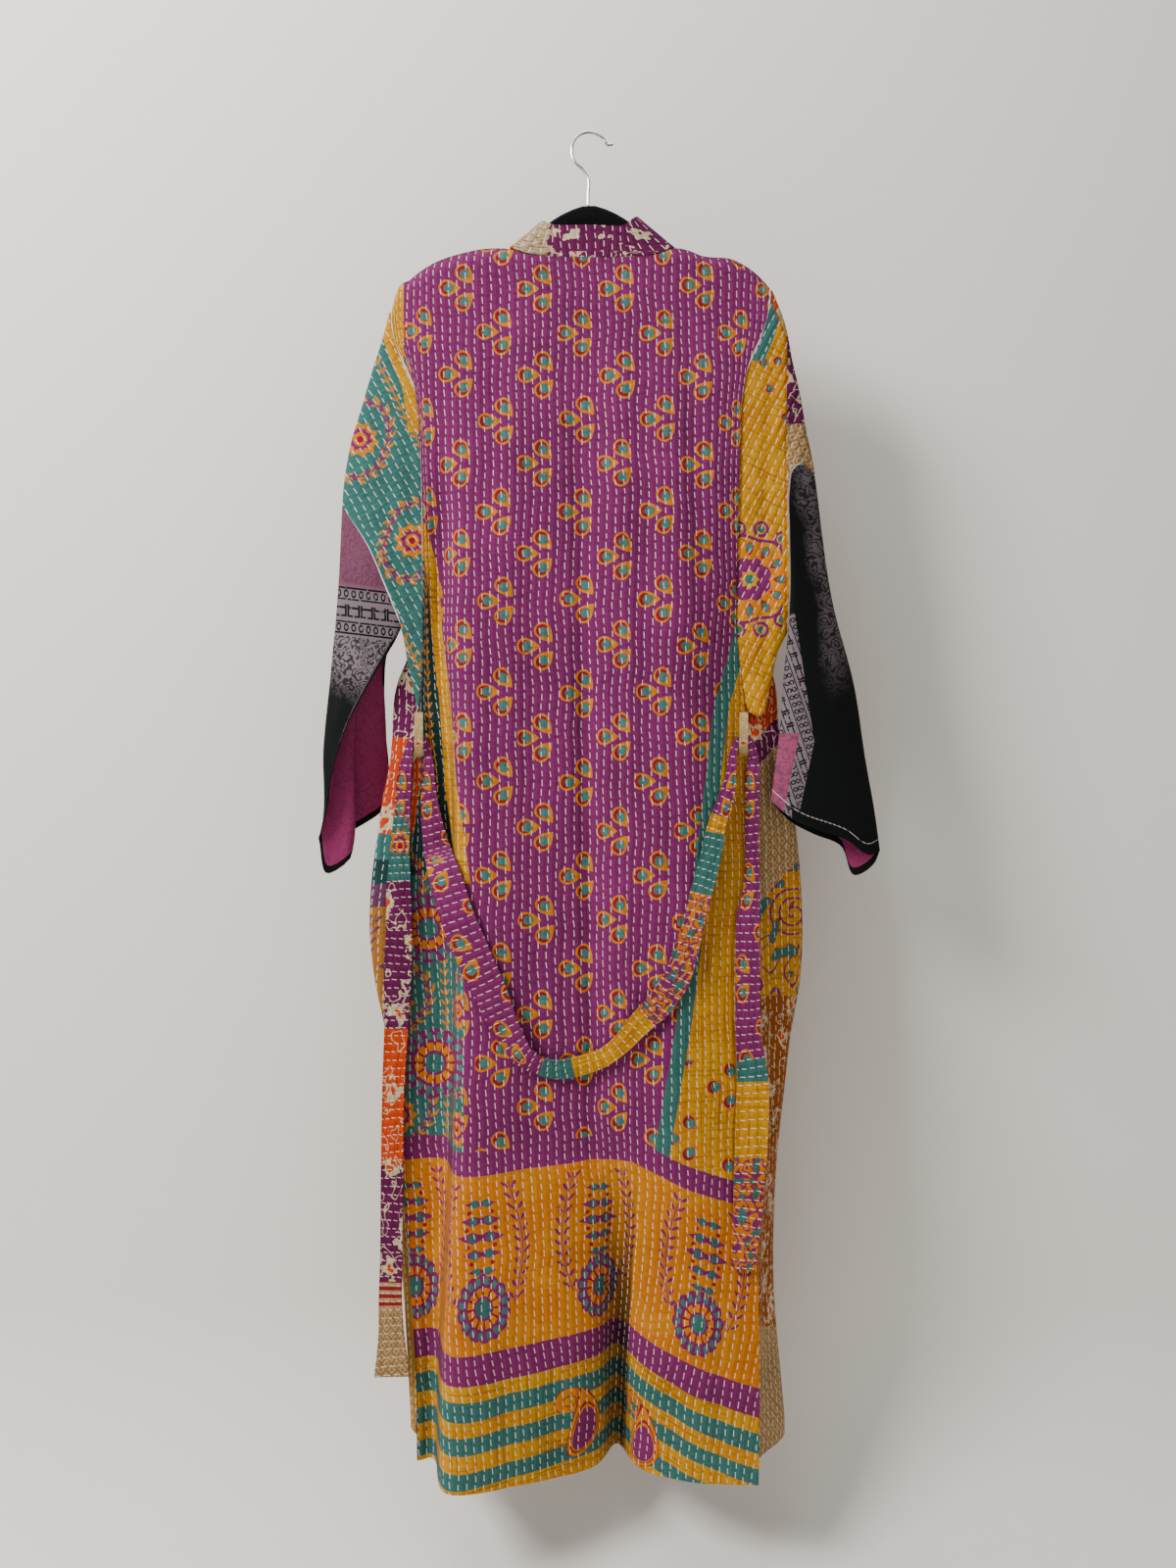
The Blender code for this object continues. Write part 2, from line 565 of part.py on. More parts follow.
def build_lower_sleeve(side, table, material):
    """Thin lower sleeve, one tube from the elbow seam to its open mouth."""
    top = xyz(table["elbow"])
    part = lengths(top)
    knots, across, down = np.array(table["gap"]).T
    top[:, 0] += np.interp(part, knots, across)
    top[:, 2] += np.interp(part, knots, down)
    fold = xyz(table["fold_lower"])
    fold[0] = top[0]
    inner = xyz(table["inner"])
    inner[0] = top[-1]
    near = xyz(table["mouth_near"])
    far = xyz(table["mouth_far"])
    u = np.linspace(0.0, 1.0, 12)

    def rings_at(angle):
        return sleeve_rings(top, near, far, fold, inner, u, angle,
                            SLEEVE_DEPTH["elbow"], SLEEVE_DEPTH["mouth"])

    angle = np.arange(RING_STEPS) * 2.0 * math.pi / RING_STEPS
    sleeve_wall(f"sleeve_lower_{side}", rings_at, angle, SARI, material, ring=True)


def band_run(table, right):
    """Collar rows down one front edge, from the chest to the hem."""
    level = np.linspace(-400.0, hem_seen(FRONT_HEM_Z, 46.0), 12)
    table = np.array(table, dtype=float)
    edge = curve(-table[:, 0], table[:, 5:7], -level)
    inward = -1.0 if right else 1.0
    seam = np.stack([edge[:, 0] + inward * 1.2, edge[:, 1], level], axis=1)
    free = seam + np.array([inward * BAND_WIDTH, 1.5, 0.0])
    return np.concatenate([seam, free], axis=1)


def build_collar(material):
    neck = np.array(COLLAR, dtype=float)[:, [0, 2, 1, 3, 5, 4]]
    rows = np.concatenate([
        band_run(FRONT_LEFT, False)[::-1], neck, band_run(FRONT_RIGHT, True),
    ])
    run = lengths((rows[:, :3] + rows[:, 3:]) / 2.0)
    places = np.concatenate([
        np.linspace(0.0, run[11], 14)[:-1],
        np.linspace(run[11], run[len(run) - 12], 30)[:-1],
        np.linspace(run[len(run) - 12], 1.0, 14),
    ])
    rows = curve(run, rows, places)
    part = np.linspace(0.0, 1.0, 4)[None, :, None]
    grid = rows[:, None, :3] * (1.0 - part) + rows[:, None, 3:] * part
    return wall("collar_band", seat(grid), QUILT, material)


def settle(depth, line, reach=BELT_REACH):
    """Depth along a band that can't follow a step: the nearest within its reach, then evened out."""
    run = np.concatenate([[0.0], np.cumsum(np.linalg.norm(np.diff(line, axis=0), axis=1))])
    near = np.abs(run[:, None] - run[None, :]) <= reach
    lowest = np.where(near, depth[None, :], np.inf).min(axis=1)
    return (near * lowest[None, :]).sum(axis=1) / near.sum(axis=1)


def strip(table, places):
    """Flat band along a line: its width lies across the line as seen from the back, turned about
    it, and its depth stands off the nearest part of the back panel under its width."""
    table = np.array(table, dtype=float)
    line = table[:, :2]
    run = lengths(line)
    middle = curve(run, line, places)
    off = curve(run, table[:, 2], places)
    width = curve(run, table[:, 3], places)
    turn = np.radians(curve(run, table[:, 4], places))
    under = np.array([
        min(back_depth(x + w * part, z) for part in (-0.5, 0.0, 0.5))
        for (x, z), w in zip(middle, width)
    ])
    centre = np.stack([middle[:, 0], settle(under, middle) - off, middle[:, 1]], axis=1)
    ahead = curve(run, line, places + 0.002) - curve(run, line, places - 0.002)
    ahead /= np.linalg.norm(ahead, axis=1, keepdims=True)
    side = np.stack([-ahead[:, 1], np.zeros(len(ahead)), ahead[:, 0]], axis=1)
    out = np.array([0.0, -1.0, 0.0])
    across = side * np.cos(turn)[:, None] + out * np.sin(turn)[:, None]
    part = np.linspace(-0.5, 0.5, 4)
    return centre[:, None] + across[:, None] * (width[:, None] * part[None])[:, :, None]


def belt_places(table, step):
    """Row places of a belt stretch from its loop: close at the loop, then evenly."""
    line = np.array(table, dtype=float)[:, :2]
    whole = np.linalg.norm(np.diff(line, axis=0), axis=1).sum()
    near = np.array([0.0, 3.0, 6.0, 9.5, 14.0, 21.0])
    count = int(round((whole - near[-1]) / step))
    return np.concatenate([near, np.linspace(near[-1], whole, count + 1)[1:]]) / whole


def build_belt(material):
    half = belt_places(BELT_DRAPE, 23.0)
    half = half[half < 0.49]
    cut = 0.0003
    places = np.concatenate([half, [0.5 - cut, 0.5 + cut], 1.0 - half[::-1]])
    grid = seat(strip(BELT_DRAPE, places))
    normal = surface_normals(grid)
    split = len(half) + 1
    wall("belt_drape_left", grid[:split], BELT, material, normal=normal[:split])
    wall("belt_drape_right", grid[split:], BELT, material, normal=normal[split:])
    for name, table in (("belt_end_left", BELT_END_LEFT), ("belt_end_right", BELT_END_RIGHT)):
        wall(name, seat(strip(table, belt_places(table, 34.0))), BELT, material)


def build_loop(name, size, material):
    """Belt loop: a narrow strip that stands off the side seam and comes back to it."""
    part = np.linspace(0.0, 1.0, 11)
    z = size["top"] + (size["bottom"] - size["top"]) * part
    x = size["x"] + np.linspace(-0.5, 0.5, 3) * LOOP_WIDTH
    touch = (QUILT + SARI) / 2.0 + SEAM_GAP + 0.3
    rise = size["rise"] * np.sin(part * math.pi) ** 0.6
    grid = np.empty((len(part), 3, 3))
    for r, level in enumerate(z):
        grid[r, :, 1] = min(back_depth(across, level) for across in x) - touch - rise[r]
    grid[..., 0] = x[None]
    grid[..., 2] = z[:, None]
    return wall(name, seat(grid), SARI, material)


def tube(name, line, radii, sides, material):
    """Round or oval rod along a line in the x-z plane; radii are across it, one or one for each
    point, and through it."""
    middle = np.asarray(line, dtype=float)
    ahead = np.gradient(middle, axis=0)
    ahead /= np.linalg.norm(ahead, axis=1, keepdims=True)
    side = np.stack([-ahead[:, 2], np.zeros(len(middle)), ahead[:, 0]], axis=1)
    turn = np.arange(sides) * 2.0 * math.pi / sides
    rings = (
        middle[:, None]
        + side[:, None] * np.cos(turn)[None, :, None] * np.reshape(radii[0], (-1, 1, 1))
        + np.array([0.0, 1.0, 0.0]) * (np.sin(turn) * radii[1])[None, :, None]
    )
    faces = []
    for r in range(len(middle) - 1):
        for c in range(sides):
            a = r * sides + c
            b = r * sides + (c + 1) % sides
            faces.append((a, b, b + sides, a + sides))
    faces.append(tuple(range(sides)))
    faces.append(tuple(range((len(middle) - 1) * sides, len(middle) * sides)))
    return make_object(name, rings.reshape(-1, 3), faces, material)


def build_hanger(body_material, wire_material):
    arms = np.array(ARMS, dtype=float)
    line = np.stack([arms[:, 0], np.zeros(len(arms)), arms[:, 1] - arms[:, 2] / 2], axis=1)
    middle = along(line, np.linspace(0.0, 1.0, 41))
    tall = np.interp(middle[:, 0], arms[:, 0], arms[:, 2])
    tube("hanger_body", middle, (tall / 2, ARM_THICK / 2), 8, body_material)
    hook = np.array(HOOK, dtype=float)
    line = np.stack([hook[:, 0], np.zeros(len(hook)), hook[:, 1]], axis=1)
    line[0, 2] = np.interp(hook[0, 0], middle[:, 0], middle[:, 2] + tall / 2) + SEAM_GAP
    places = np.linspace(0.0, 1.0, 40)
    tube("hanger_hook", along(line, places), (WIRE / 2, WIRE / 2), 8, wire_material)


def main():
    for old in list(bpy.data.objects):
        bpy.data.objects.remove(old, do_unlink=True)
    purple = make_material("quilt_purple", (0.25, 0.045, 0.17), 0.85)
    flowered = make_material("quilt_flowered", (0.24, 0.04, 0.15), 0.85)
    teal = make_material("quilt_teal", (0.05, 0.2, 0.18), 0.85)
    yellow = make_material("quilt_yellow", (0.66, 0.38, 0.02), 0.85)
    sari = make_material("sari_black", (0.012, 0.016, 0.018), 0.7)
    sash = make_material("belt_purple", (0.25, 0.045, 0.17), 0.85)
    cream = make_material("loop_cream", (0.6, 0.5, 0.35), 0.85)
    velvet = make_material("hanger_velvet", (0.006, 0.006, 0.007), 0.95)
    steel = make_material("hook_steel", (0.55, 0.55, 0.55), 0.3, 1.0)
    build_back(purple)
    build_front("front_left", False, flowered)
    build_front("front_right", True, flowered)
    build_upper_sleeve("left", SLEEVE_LEFT, False, teal, teal)
    build_upper_sleeve("right", SLEEVE_RIGHT, True, yellow, flowered)
    build_lower_sleeve("left", SLEEVE_LEFT, sari)
    build_lower_sleeve("right", SLEEVE_RIGHT, sari)
    build_collar(flowered)
    build_belt(sash)
    build_loop("belt_loop_left", LOOP_LEFT, cream)
    build_loop("belt_loop_right", LOOP_RIGHT, cream)
    build_hanger(velvet, steel)


main()
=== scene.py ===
import math
import bpy
import numpy as np
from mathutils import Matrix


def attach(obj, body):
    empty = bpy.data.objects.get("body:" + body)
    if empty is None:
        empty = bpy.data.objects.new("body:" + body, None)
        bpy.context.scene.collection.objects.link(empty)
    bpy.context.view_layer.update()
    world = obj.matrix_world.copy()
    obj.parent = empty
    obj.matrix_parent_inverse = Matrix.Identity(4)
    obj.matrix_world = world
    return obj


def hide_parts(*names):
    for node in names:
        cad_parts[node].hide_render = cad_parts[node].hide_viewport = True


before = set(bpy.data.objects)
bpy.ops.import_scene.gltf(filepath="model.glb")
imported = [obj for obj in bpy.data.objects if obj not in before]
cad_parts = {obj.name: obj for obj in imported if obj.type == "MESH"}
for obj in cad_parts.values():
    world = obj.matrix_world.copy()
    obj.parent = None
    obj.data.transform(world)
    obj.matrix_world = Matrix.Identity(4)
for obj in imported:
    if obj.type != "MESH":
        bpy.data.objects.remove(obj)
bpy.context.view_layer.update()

# A long quilted kimono coat on a slim hanger, seen from its back. Sizes are in millimetres in the
# tables and in metres in the meshes. Outline sizes (x, z) stand on the hanger's plane and seat()
# draws nearer and further cloth in proportion, as the solids are made.

look = {
    "viewDistance": 1370.0,
    "viewX": -2.0,
    "viewZ": -754.0,
    "lens": 27.05,
    "quilt": 1.9,
    "sari": 1.1,
    "belt": 3.0,
    "seamGap": 0.3,
    "backHem": -1547.0,
    "frontHem": -1516.0,
    "shoulderRound": 13.0,
    "shoulderBlend": 90.0,
    "underarm": -668.0,
}


# Cloth colours, as seen on the real cloth (sRGB, 0 to 255).
palette = {
    "purple": (108, 30, 83),
    "deepPurple": (88, 18, 64),
    "ring": (186, 108, 4),
    "teal": (48, 94, 89),
    "paleTeal": (62, 104, 96),
    "darkTeal": (24, 54, 52),
    "maroon": (128, 20, 34),
    "yellow": (184, 129, 0),
    "brownLine": (132, 66, 0),
    "orange": (180, 101, 0),
    "cream": (186, 170, 136),
    "flame": (184, 56, 10),
    "beige": (164, 134, 90),
    "brown": (104, 68, 32),
    "ink": (6, 8, 9),
    "lace": (112, 100, 106),
    "mauve": (102, 58, 78),
    "mauveInk": (78, 34, 56),
    "lining": (136, 46, 88),
    "pink": (140, 62, 92),
    "thread": (228, 218, 206),
}


# Running stitches, in millimetres: rows, stitch to stitch and half the thread's width; the thread
# takes up this part of a step to each side, and a part more by chance.
sewing = {"rowPitch": 9.6, "step": 10.8, "width": 0.46, "half": 0.26, "spread": 0.10, "shown": 0.78}


def linear(name):
    # sRGB to linear light: the 2.2 power law with its straight toe.
    out = []
    for part in palette[name]:
        part = part / 255.0
        out.append(part / 12.92 if part <= 0.04045 else ((part + 0.055) / 1.055) ** 2.4)
    return (*out, 1.0)


def seat(points):
    # x and z spread from the eye in proportion to depth y.
    nearness = 1.0 + points[..., 1] / look["viewDistance"]
    placed = points.copy()
    placed[..., 0] = look["viewX"] + (points[..., 0] - look["viewX"]) * nearness
    placed[..., 2] = look["viewZ"] + (points[..., 2] - look["viewZ"]) * nearness
    return placed


def hemSeen(hemZ, depth):
    return look["viewZ"] + (hemZ - look["viewZ"]) / (1.0 + np.asarray(depth) / look["viewDistance"])


def curve(knots, values, places):
    # Hermite spans through the values at the knots, with three-point slopes.
    knots = np.asarray(knots, dtype=float)
    values = np.asarray(values, dtype=float)
    shape = values.shape[1:]
    values = values.reshape(len(knots), -1)
    steps = np.diff(knots)[:, None]
    slopes = np.diff(values, axis=0) / steps
    tangents = np.empty_like(values)
    tangents[0] = slopes[0]
    tangents[-1] = slopes[-1]
    tangents[1:-1] = (slopes[:-1] * steps[1:] + slopes[1:] * steps[:-1]) / (steps[:-1] + steps[1:])
    places = np.clip(np.asarray(places, dtype=float), knots[0], knots[-1])
    span = np.clip(np.searchsorted(knots, places, side="right") - 1, 0, len(knots) - 2)
    width = steps[span]
    part = ((places - knots[span])[:, None]) / width
    read = (
        (2 * part**3 - 3 * part**2 + 1) * values[span]
        + (part**3 - 2 * part**2 + part) * width * tangents[span]
        + (3 * part**2 - 2 * part**3) * values[span + 1]
        + (part**3 - part**2) * width * tangents[span + 1]
    )
    return read.reshape((len(places),) + shape)


def run(line):
    # Length along a line from its start.
    return np.concatenate([[0.0], np.cumsum(np.linalg.norm(np.diff(line, axis=0), axis=1))])


def lengths(line):
    # The same as a part of the whole.
    return run(line) / run(line)[-1]


def along(points, places):
    points = np.asarray(points, dtype=float)
    return curve(lengths(points), points, places)


def xyz(points):
    # Table points x, z, y as x, y, z.
    points = np.asarray(points, dtype=float)
    return points[:, [0, 2, 1]]


def smooth(value):
    value = np.clip(value, 0.0, 1.0)
    return value * value * (3.0 - 2.0 * value)


def gridNormals(grid, across=None):
    # Down the columns times across the rows, so normals of the back point to -Y.
    down = np.gradient(grid, axis=0)
    if across is None:
        across = np.gradient(grid, axis=1)
    normal = np.cross(down, across)
    return normal / np.linalg.norm(normal, axis=2, keepdims=True)


def runAcross(grid, start):
    # Length along each row, measured from column start, in metres.
    step = np.linalg.norm(np.diff(grid, axis=1), axis=2)
    run = np.concatenate([np.zeros((len(grid), 1)), np.cumsum(step, axis=1)], axis=1)
    return (run - run[:, start:start + 1]) * 0.001


def soften(grid, creases, outward=1.0):
    # Presses soft troughs into a sheet along its normals: depth times exp(-(d / width)^2), with d
    # the distance in the outline from the line x1, z1 to x2, z2; past its ends the trough fades.
    normal = gridNormals(grid)
    x, z = grid[..., 0], grid[..., 2]
    push = np.zeros_like(x)
    for x1, z1, x2, z2, width, depth in creases:
        dx, dz = x2 - x1, z2 - z1
        part = np.clip(((x - x1) * dx + (z - z1) * dz) / (dx * dx + dz * dz), 0.0, 1.0)
        away = np.hypot(x - x1 - part * dx, z - z1 - part * dz)
        fade = 0.35 + 0.65 * np.sin(np.pi * np.clip(part, 0.02, 0.98))
        push += depth * np.exp(-(away / width) ** 2) * fade
    return grid - normal * (push[..., None] * outward)


# Shells of cloth.

def outline(grid):
    return grid[..., [0, 2]] * 0.001


def clothPiece(name, grid, thick, maps, materials, ring=False, normal=None):
    # A closed shell: the middle grid (mm) moved half the thickness out and in along its normals,
    # joined by a rim. maps holds UV layers by name, each (rows, columns, 2) in metres; on a ring
    # they have one more column than the grid.
    if normal is None:
        normal = gridNormals(grid)
    rows, columns = grid.shape[:2]
    half = normal * thick / 2.0
    points = np.concatenate([((grid + way * half) * 0.001).reshape(-1, 3) for way in (1.0, -1.0)])
    shift = rows * columns
    wide = columns if ring else columns - 1
    r, c = (spots.ravel() for spots in np.meshgrid(np.arange(rows - 1), np.arange(wide), indexing="ij"))
    place = np.stack([np.stack([r + i, c + j], axis=1) for i, j in ((0, 0), (1, 0), (1, 1), (0, 1))], axis=1)
    corner = place[..., 0] * columns + place[..., 1] % columns
    faces = [corner, corner[:, ::-1] + shift]
    places = [place, place[:, ::-1]]
    rims = [(0, None, 1), (rows - 1, None, -1)]
    if not ring:
        rims += [(None, 0, -1), (None, columns - 1, 1)]
    for row, column, turn in rims:
        k = np.arange(wide if column is None else rows - 1)
        fixed = np.full(len(k), row if column is None else column)
        ends = [np.stack([fixed, k + i] if column is None else [k + i, fixed], axis=1) for i in (0, 1)]
        a, b = (end[:, 0] * columns + end[:, 1] % columns for end in ends)
        faces.append(np.stack([a, a + shift, b + shift, b], axis=1)[:, ::turn])
        places.append(np.stack([ends[0], ends[0], ends[1], ends[1]], axis=1)[:, ::turn])
    kinds = np.concatenate([np.full(len(part), k == 1, dtype=int) for k, part in enumerate(faces)])
    faces = np.concatenate(faces)
    mesh = bpy.data.meshes.new(name)
    mesh.from_pydata(points.tolist(), [], faces.tolist())
    mesh.polygons.foreach_set("material_index", kinds)
    mesh.polygons.foreach_set("use_smooth", np.ones(len(faces), bool))
    spots = np.concatenate(places).reshape(-1, 2)
    for label, values in maps.items():
        corners = values[spots[:, 0], spots[:, 1]].astype(np.float32)
        mesh.uv_layers.new(name=label).data.foreach_set("uv", corners.ravel())
    for material in materials:
        mesh.materials.append(material)
    mesh.set_sharp_from_angle(angle=math.radians(60))
    mesh.validate()
    piece = bpy.data.objects.new(name, mesh)
    bpy.context.scene.collection.objects.link(piece)
    return piece


def addSheet(name, grid, placed, u, v, thick, materials, maps=None, normal=None, ring=False):
    # A piece from its placed grid, with its cloth coordinates u and v (m) and its place in the
    # outline. It stands for the solid of the same name, written with underscores.
    layers = {"cloth": np.stack([u, v], axis=2), "seen": outline(grid), **(maps or {})}
    piece = clothPiece(name, placed, thick, layers, materials, ring=ring, normal=normal)
    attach(piece, "root")
    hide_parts("".join("_" + letter.lower() if letter.isupper() else letter for letter in name))
    if ring:
        placed = np.concatenate([placed, placed[:, :1]], axis=1)
    declare(piece, placed)


def declare(piece, placed):
    # The cut's size: mean length across the grid's rows and down its columns, and its area.
    across = np.linalg.norm(np.diff(placed, axis=1), axis=2).sum(axis=1)
    down = np.linalg.norm(np.diff(placed, axis=0), axis=2).sum(axis=0)
    a = placed[1:, :-1] - placed[:-1, :-1]
    b = placed[:-1, 1:] - placed[:-1, :-1]
    c = placed[1:, :-1] - placed[1:, 1:]
    d = placed[:-1, 1:] - placed[1:, 1:]
    area = sum(np.linalg.norm(np.cross(p, q), axis=2).sum() for p, q in ((a, b), (c, d))) * 0.5e-6
    width, length = max(float(across.mean() * 0.001), 0.0102), float(down.mean() * 0.001)
    if area < 0.35 * width * length:
        # A piece cut on the slant: its length is read square to its width.
        length = float(area / width / 0.8)
    area = min(float(area), width * length)
    print("%s: cut %.3f x %.3f m, area %.4f" % (piece.name, width, length, area), flush=True)


# Node trees.

class Field:
    # A number in a node tree. Arithmetic on it adds Math nodes.
    def __init__(self, tree, socket):
        self.tree = tree
        self.socket = socket

    def math(self, kind, *others):
        made = node(self.tree, "ShaderNodeMath", operation=kind)
        for spot, value in enumerate((self, *others)):
            connect(self.tree, value, made.inputs[spot])
        return Field(self.tree, made.outputs[0])

    def __rsub__(self, other):
        return (self * -1.0) + other

    def fold(self, period):
        # Distance to the nearest multiple of the period, with its sign.
        return self - (self * (1.0 / period)).round() * period

    def between(self, low, high):
        return self.over(low) * self.under(high)

    def held(self):
        # Kept within 0 and 1.
        return self.least(1.0).most(0.0)


def operator(kind):
    def run(self, *others):
        return self.math(kind, *others)
    return run


# v.angle(u) is the angle of the point (u, v).
for word, kind in (
    ("__add__", "ADD"), ("__radd__", "ADD"), ("__sub__", "SUBTRACT"), ("__mul__", "MULTIPLY"),
    ("__rmul__", "MULTIPLY"), ("__truediv__", "DIVIDE"), ("abs", "ABSOLUTE"), ("sqrt", "SQRT"),
    ("sin", "SINE"), ("cos", "COSINE"), ("round", "ROUND"), ("over", "GREATER_THAN"),
    ("under", "LESS_THAN"), ("least", "MINIMUM"), ("most", "MAXIMUM"), ("angle", "ARCTAN2"),
    ("remainder", "MODULO"),
):
    setattr(Field, word, operator(kind))


def node(tree, kind, **settings):
    made = tree.nodes.new(kind)
    for key, value in settings.items():
        setattr(made, key, value)
    return made


def connect(tree, value, entry):
    # Feeds an input with a number, a field, a colour's name, a tuple or a socket.
    if isinstance(value, Field):
        tree.links.new(value.socket, entry)
    elif isinstance(value, str):
        entry.default_value = linear(value)
    elif isinstance(value, (int, float, tuple)):
        entry.default_value = value
    else:
        tree.links.new(value, entry)


def mix(part, low, high):
    # Colour low where part is 0 and high where it is 1.
    tree = part.tree if isinstance(part, Field) else low.id_data
    made = node(tree, "ShaderNodeMix", data_type="RGBA", clamp_factor=True)
    for spot, value in ((0, part), (6, low), (7, high)):
        connect(tree, value, made.inputs[spot])
    return made.outputs[2]


def cover(colour, *steps):
    # Lays tones over a colour in turn, each where its mask is 1.
    for mask, tone in steps:
        colour = mix(mask, colour, tone)
    return colour


def shade(colour, amount):
    # Colour times a brightness number.
    made = node(amount.tree, "ShaderNodeVectorMath", operation="SCALE")
    connect(amount.tree, colour, made.inputs[0])
    connect(amount.tree, amount, made.inputs[3])
    return made.outputs[0]


def layer(tree, name):
    # The two numbers of a UV layer.
    place = node(tree, "ShaderNodeUVMap", uv_map=name)
    made = node(tree, "ShaderNodeSeparateXYZ")
    tree.links.new(place.outputs[0], made.inputs[0])
    return Field(tree, made.outputs[0]), Field(tree, made.outputs[1])


def vectorOf(tree, *values):
    made = node(tree, "ShaderNodeCombineXYZ")
    for spot, value in enumerate(values):
        connect(tree, value, made.inputs[spot])
    return made.outputs[0]


def noise(u, v, scaleU, scaleV, detail=1.0, seed=0.0):
    # Noise from 0 to 1 at u and v (millimetres) with its own grain each way, in cycles a millimetre.
    made = node(u.tree, "ShaderNodeTexNoise", noise_dimensions="3D")
    made.inputs["Scale"].default_value = 1.0
    made.inputs["Detail"].default_value = detail
    connect(u.tree, vectorOf(u.tree, u * scaleU, v * scaleV, seed), made.inputs["Vector"])
    return Field(u.tree, made.outputs[0])


def chance(a, b=0.0, seed=0.0):
    # A random number from 0 to 1 for each whole a and b.
    made = node(a.tree, "ShaderNodeTexWhiteNoise", noise_dimensions="3D")
    connect(a.tree, vectorOf(a.tree, a, b, seed), made.inputs[0])
    return Field(a.tree, made.outputs[0])


def distance(u, v, centreU=0.0, centreV=0.0):
    du, dv = u - centreU, v - centreV
    return (du * du + dv * dv).sqrt()


def group(name, inputs, outputs, build):
    # A node group with its sockets' labels in two strings; build(fields) returns its outputs.
    tree = bpy.data.node_groups.new(name, "ShaderNodeTree")
    for way, labels in (("INPUT", inputs), ("OUTPUT", outputs)):
        for label in labels.split():
            kind = "NodeSocketColor" if label in ("Color", "Ground", "Ink") else "NodeSocketFloat"
            tree.interface.new_socket(label, in_out=way, socket_type=kind)
    entry = node(tree, "NodeGroupInput")
    leave = node(tree, "NodeGroupOutput")
    fields = [out if out.type == "RGBA" else Field(tree, out) for out in entry.outputs if out.name]
    made = build(*fields)
    for spot, value in enumerate(made if isinstance(made, tuple) else (made,)):
        connect(tree, value, leave.inputs[spot])
    return tree


def use(name, u, v, *values):
    # Adds a shared group to the tree of u and returns its outputs, numbers as fields.
    made = node(u.tree, "ShaderNodeGroup", node_tree=shared[name])
    for spot, value in enumerate((u, v, *values)):
        connect(u.tree, value, made.inputs[spot])
    found = [out if out.type == "RGBA" else Field(u.tree, out) for out in made.outputs]
    return found if len(found) > 1 else found[0]


# Prints. Lengths inside the groups are millimetres of cloth.

def dropAt(u, v, centreU, centreV, turn, length, width):
    # A drop with its point along turn: 0.844 (1 - s) (1 - s^2) - t^2 is over 0 inside, with s
    # along and t across it. Returns that and s, t.
    cosine, sine = math.cos(turn), math.sin(turn)
    du, dv = u - centreU, v - centreV
    s = (du * cosine + dv * sine) * (2.0 / length)
    t = (dv * cosine - du * sine) * (2.0 / width)
    s = s.most(-1.0).least(1.0)
    return (1.0 - s) * (1.0 - s * s) * 0.844 - t * t, s, t


def eyeColour(colour, u, v, centreU, centreV, turn, length=27.0, width=19.0):
    # Peacock-eye drop: gold ring, maroon heart and a teal spot towards its point.
    body, s, t = dropAt(u, v, centreU, centreV, turn, length, width)
    colour = cover(
        colour,
        (body.over(0.0), "ring"),
        (body.over(0.46), "maroon"),
    )
    spot = (s + 0.03) * 2.0
    side = t * 1.75
    teal = (spot * spot + side * side).under(1.0) * body.over(0.50)
    return mix(teal, colour, "paleTeal")


def buildTrio(u, v, ground):
    # Half-drop repeat of three drops whose points meet on the right, each place a little off.
    pitchU, pitchV = 47.0, 104.0
    column = (u * (1.0 / pitchU)).round()
    lift = column.remainder(2.0).abs() * (pitchV / 2.0)
    row = ((v - lift) * (1.0 / pitchV)).round()
    du = u - column * pitchU + (chance(column, row, 1.0) - 0.5) * 4.0
    dv = v - lift - row * pitchV + (chance(column, row, 2.0) - 0.5) * 5.0
    colour = ground
    for place in ((-10.0, 0.0, 0.0), (8.5, 15.0, -0.85), (8.5, -15.0, 0.78)):
        colour = eyeColour(colour, du, dv, *place)
    return colour


def buildStitch(u, v):
    # Running stitches: threads in rows, every row shifted by chance, and the puckered cloth between
    # them, with painted shade in its hollows. Height is in millimetres.
    rowPitch, step = sewing["rowPitch"], sewing["step"]
    wander = (noise(u, v, 0.004, 0.006) - 0.5) * 16.0 + (noise(u, v, 0.02, 0.03, 0.0, 2.0) - 0.5) * 4.0
    place = (u + wander) * (1.0 / rowPitch)
    row = place.round()
    offset = (place - row) * rowPitch
    shift = chance(row, 3.0) * 40.0
    slip = (noise(u, v, 0.05, 0.02, 0.0, 4.0) - 0.5) * 2.5
    run = (v + shift + slip) * (1.0 / step)
    part = run.fold(1.0)
    half = chance(row, run.round(), 5.0) * sewing["spread"] + sewing["half"]
    thread = part.abs().under(half) * (offset + part).abs().under(sewing["width"])
    valley = (offset * (math.pi / rowPitch)).cos()
    pucker = noise(u, v, 0.05, 0.22, 1.0, 7.0)
    ripple = noise(u, v, 0.012, 0.03, 2.0, 9.0)
    height = valley * -0.55 + pucker * 1.5 + ripple * 2.4
    # Tone is painted shade: darker where the puckers and ripples sink in, lighter where they rise.
    tone = (pucker - 0.5) * 0.30 + (ripple - 0.5) * 0.30 + 1.0
    return thread, height, tone


def buildSlub(u, v):
    # Hand-woven cotton: uneven threads both ways. Gives a brightness and a height.
    warp = noise(u, v, 0.9, 0.02, 1.0, 11.0)
    weft = noise(u, v, 0.02, 0.9, 1.0, 12.0)
    cloud = noise(u, v, 0.01, 0.012, 2.0, 13.0)
    tone = (warp - 0.5) * 0.16 + (weft - 0.5) * 0.16 + (cloud - 0.5) * 0.5 + 1.0
    return tone, (warp + weft) * 0.12


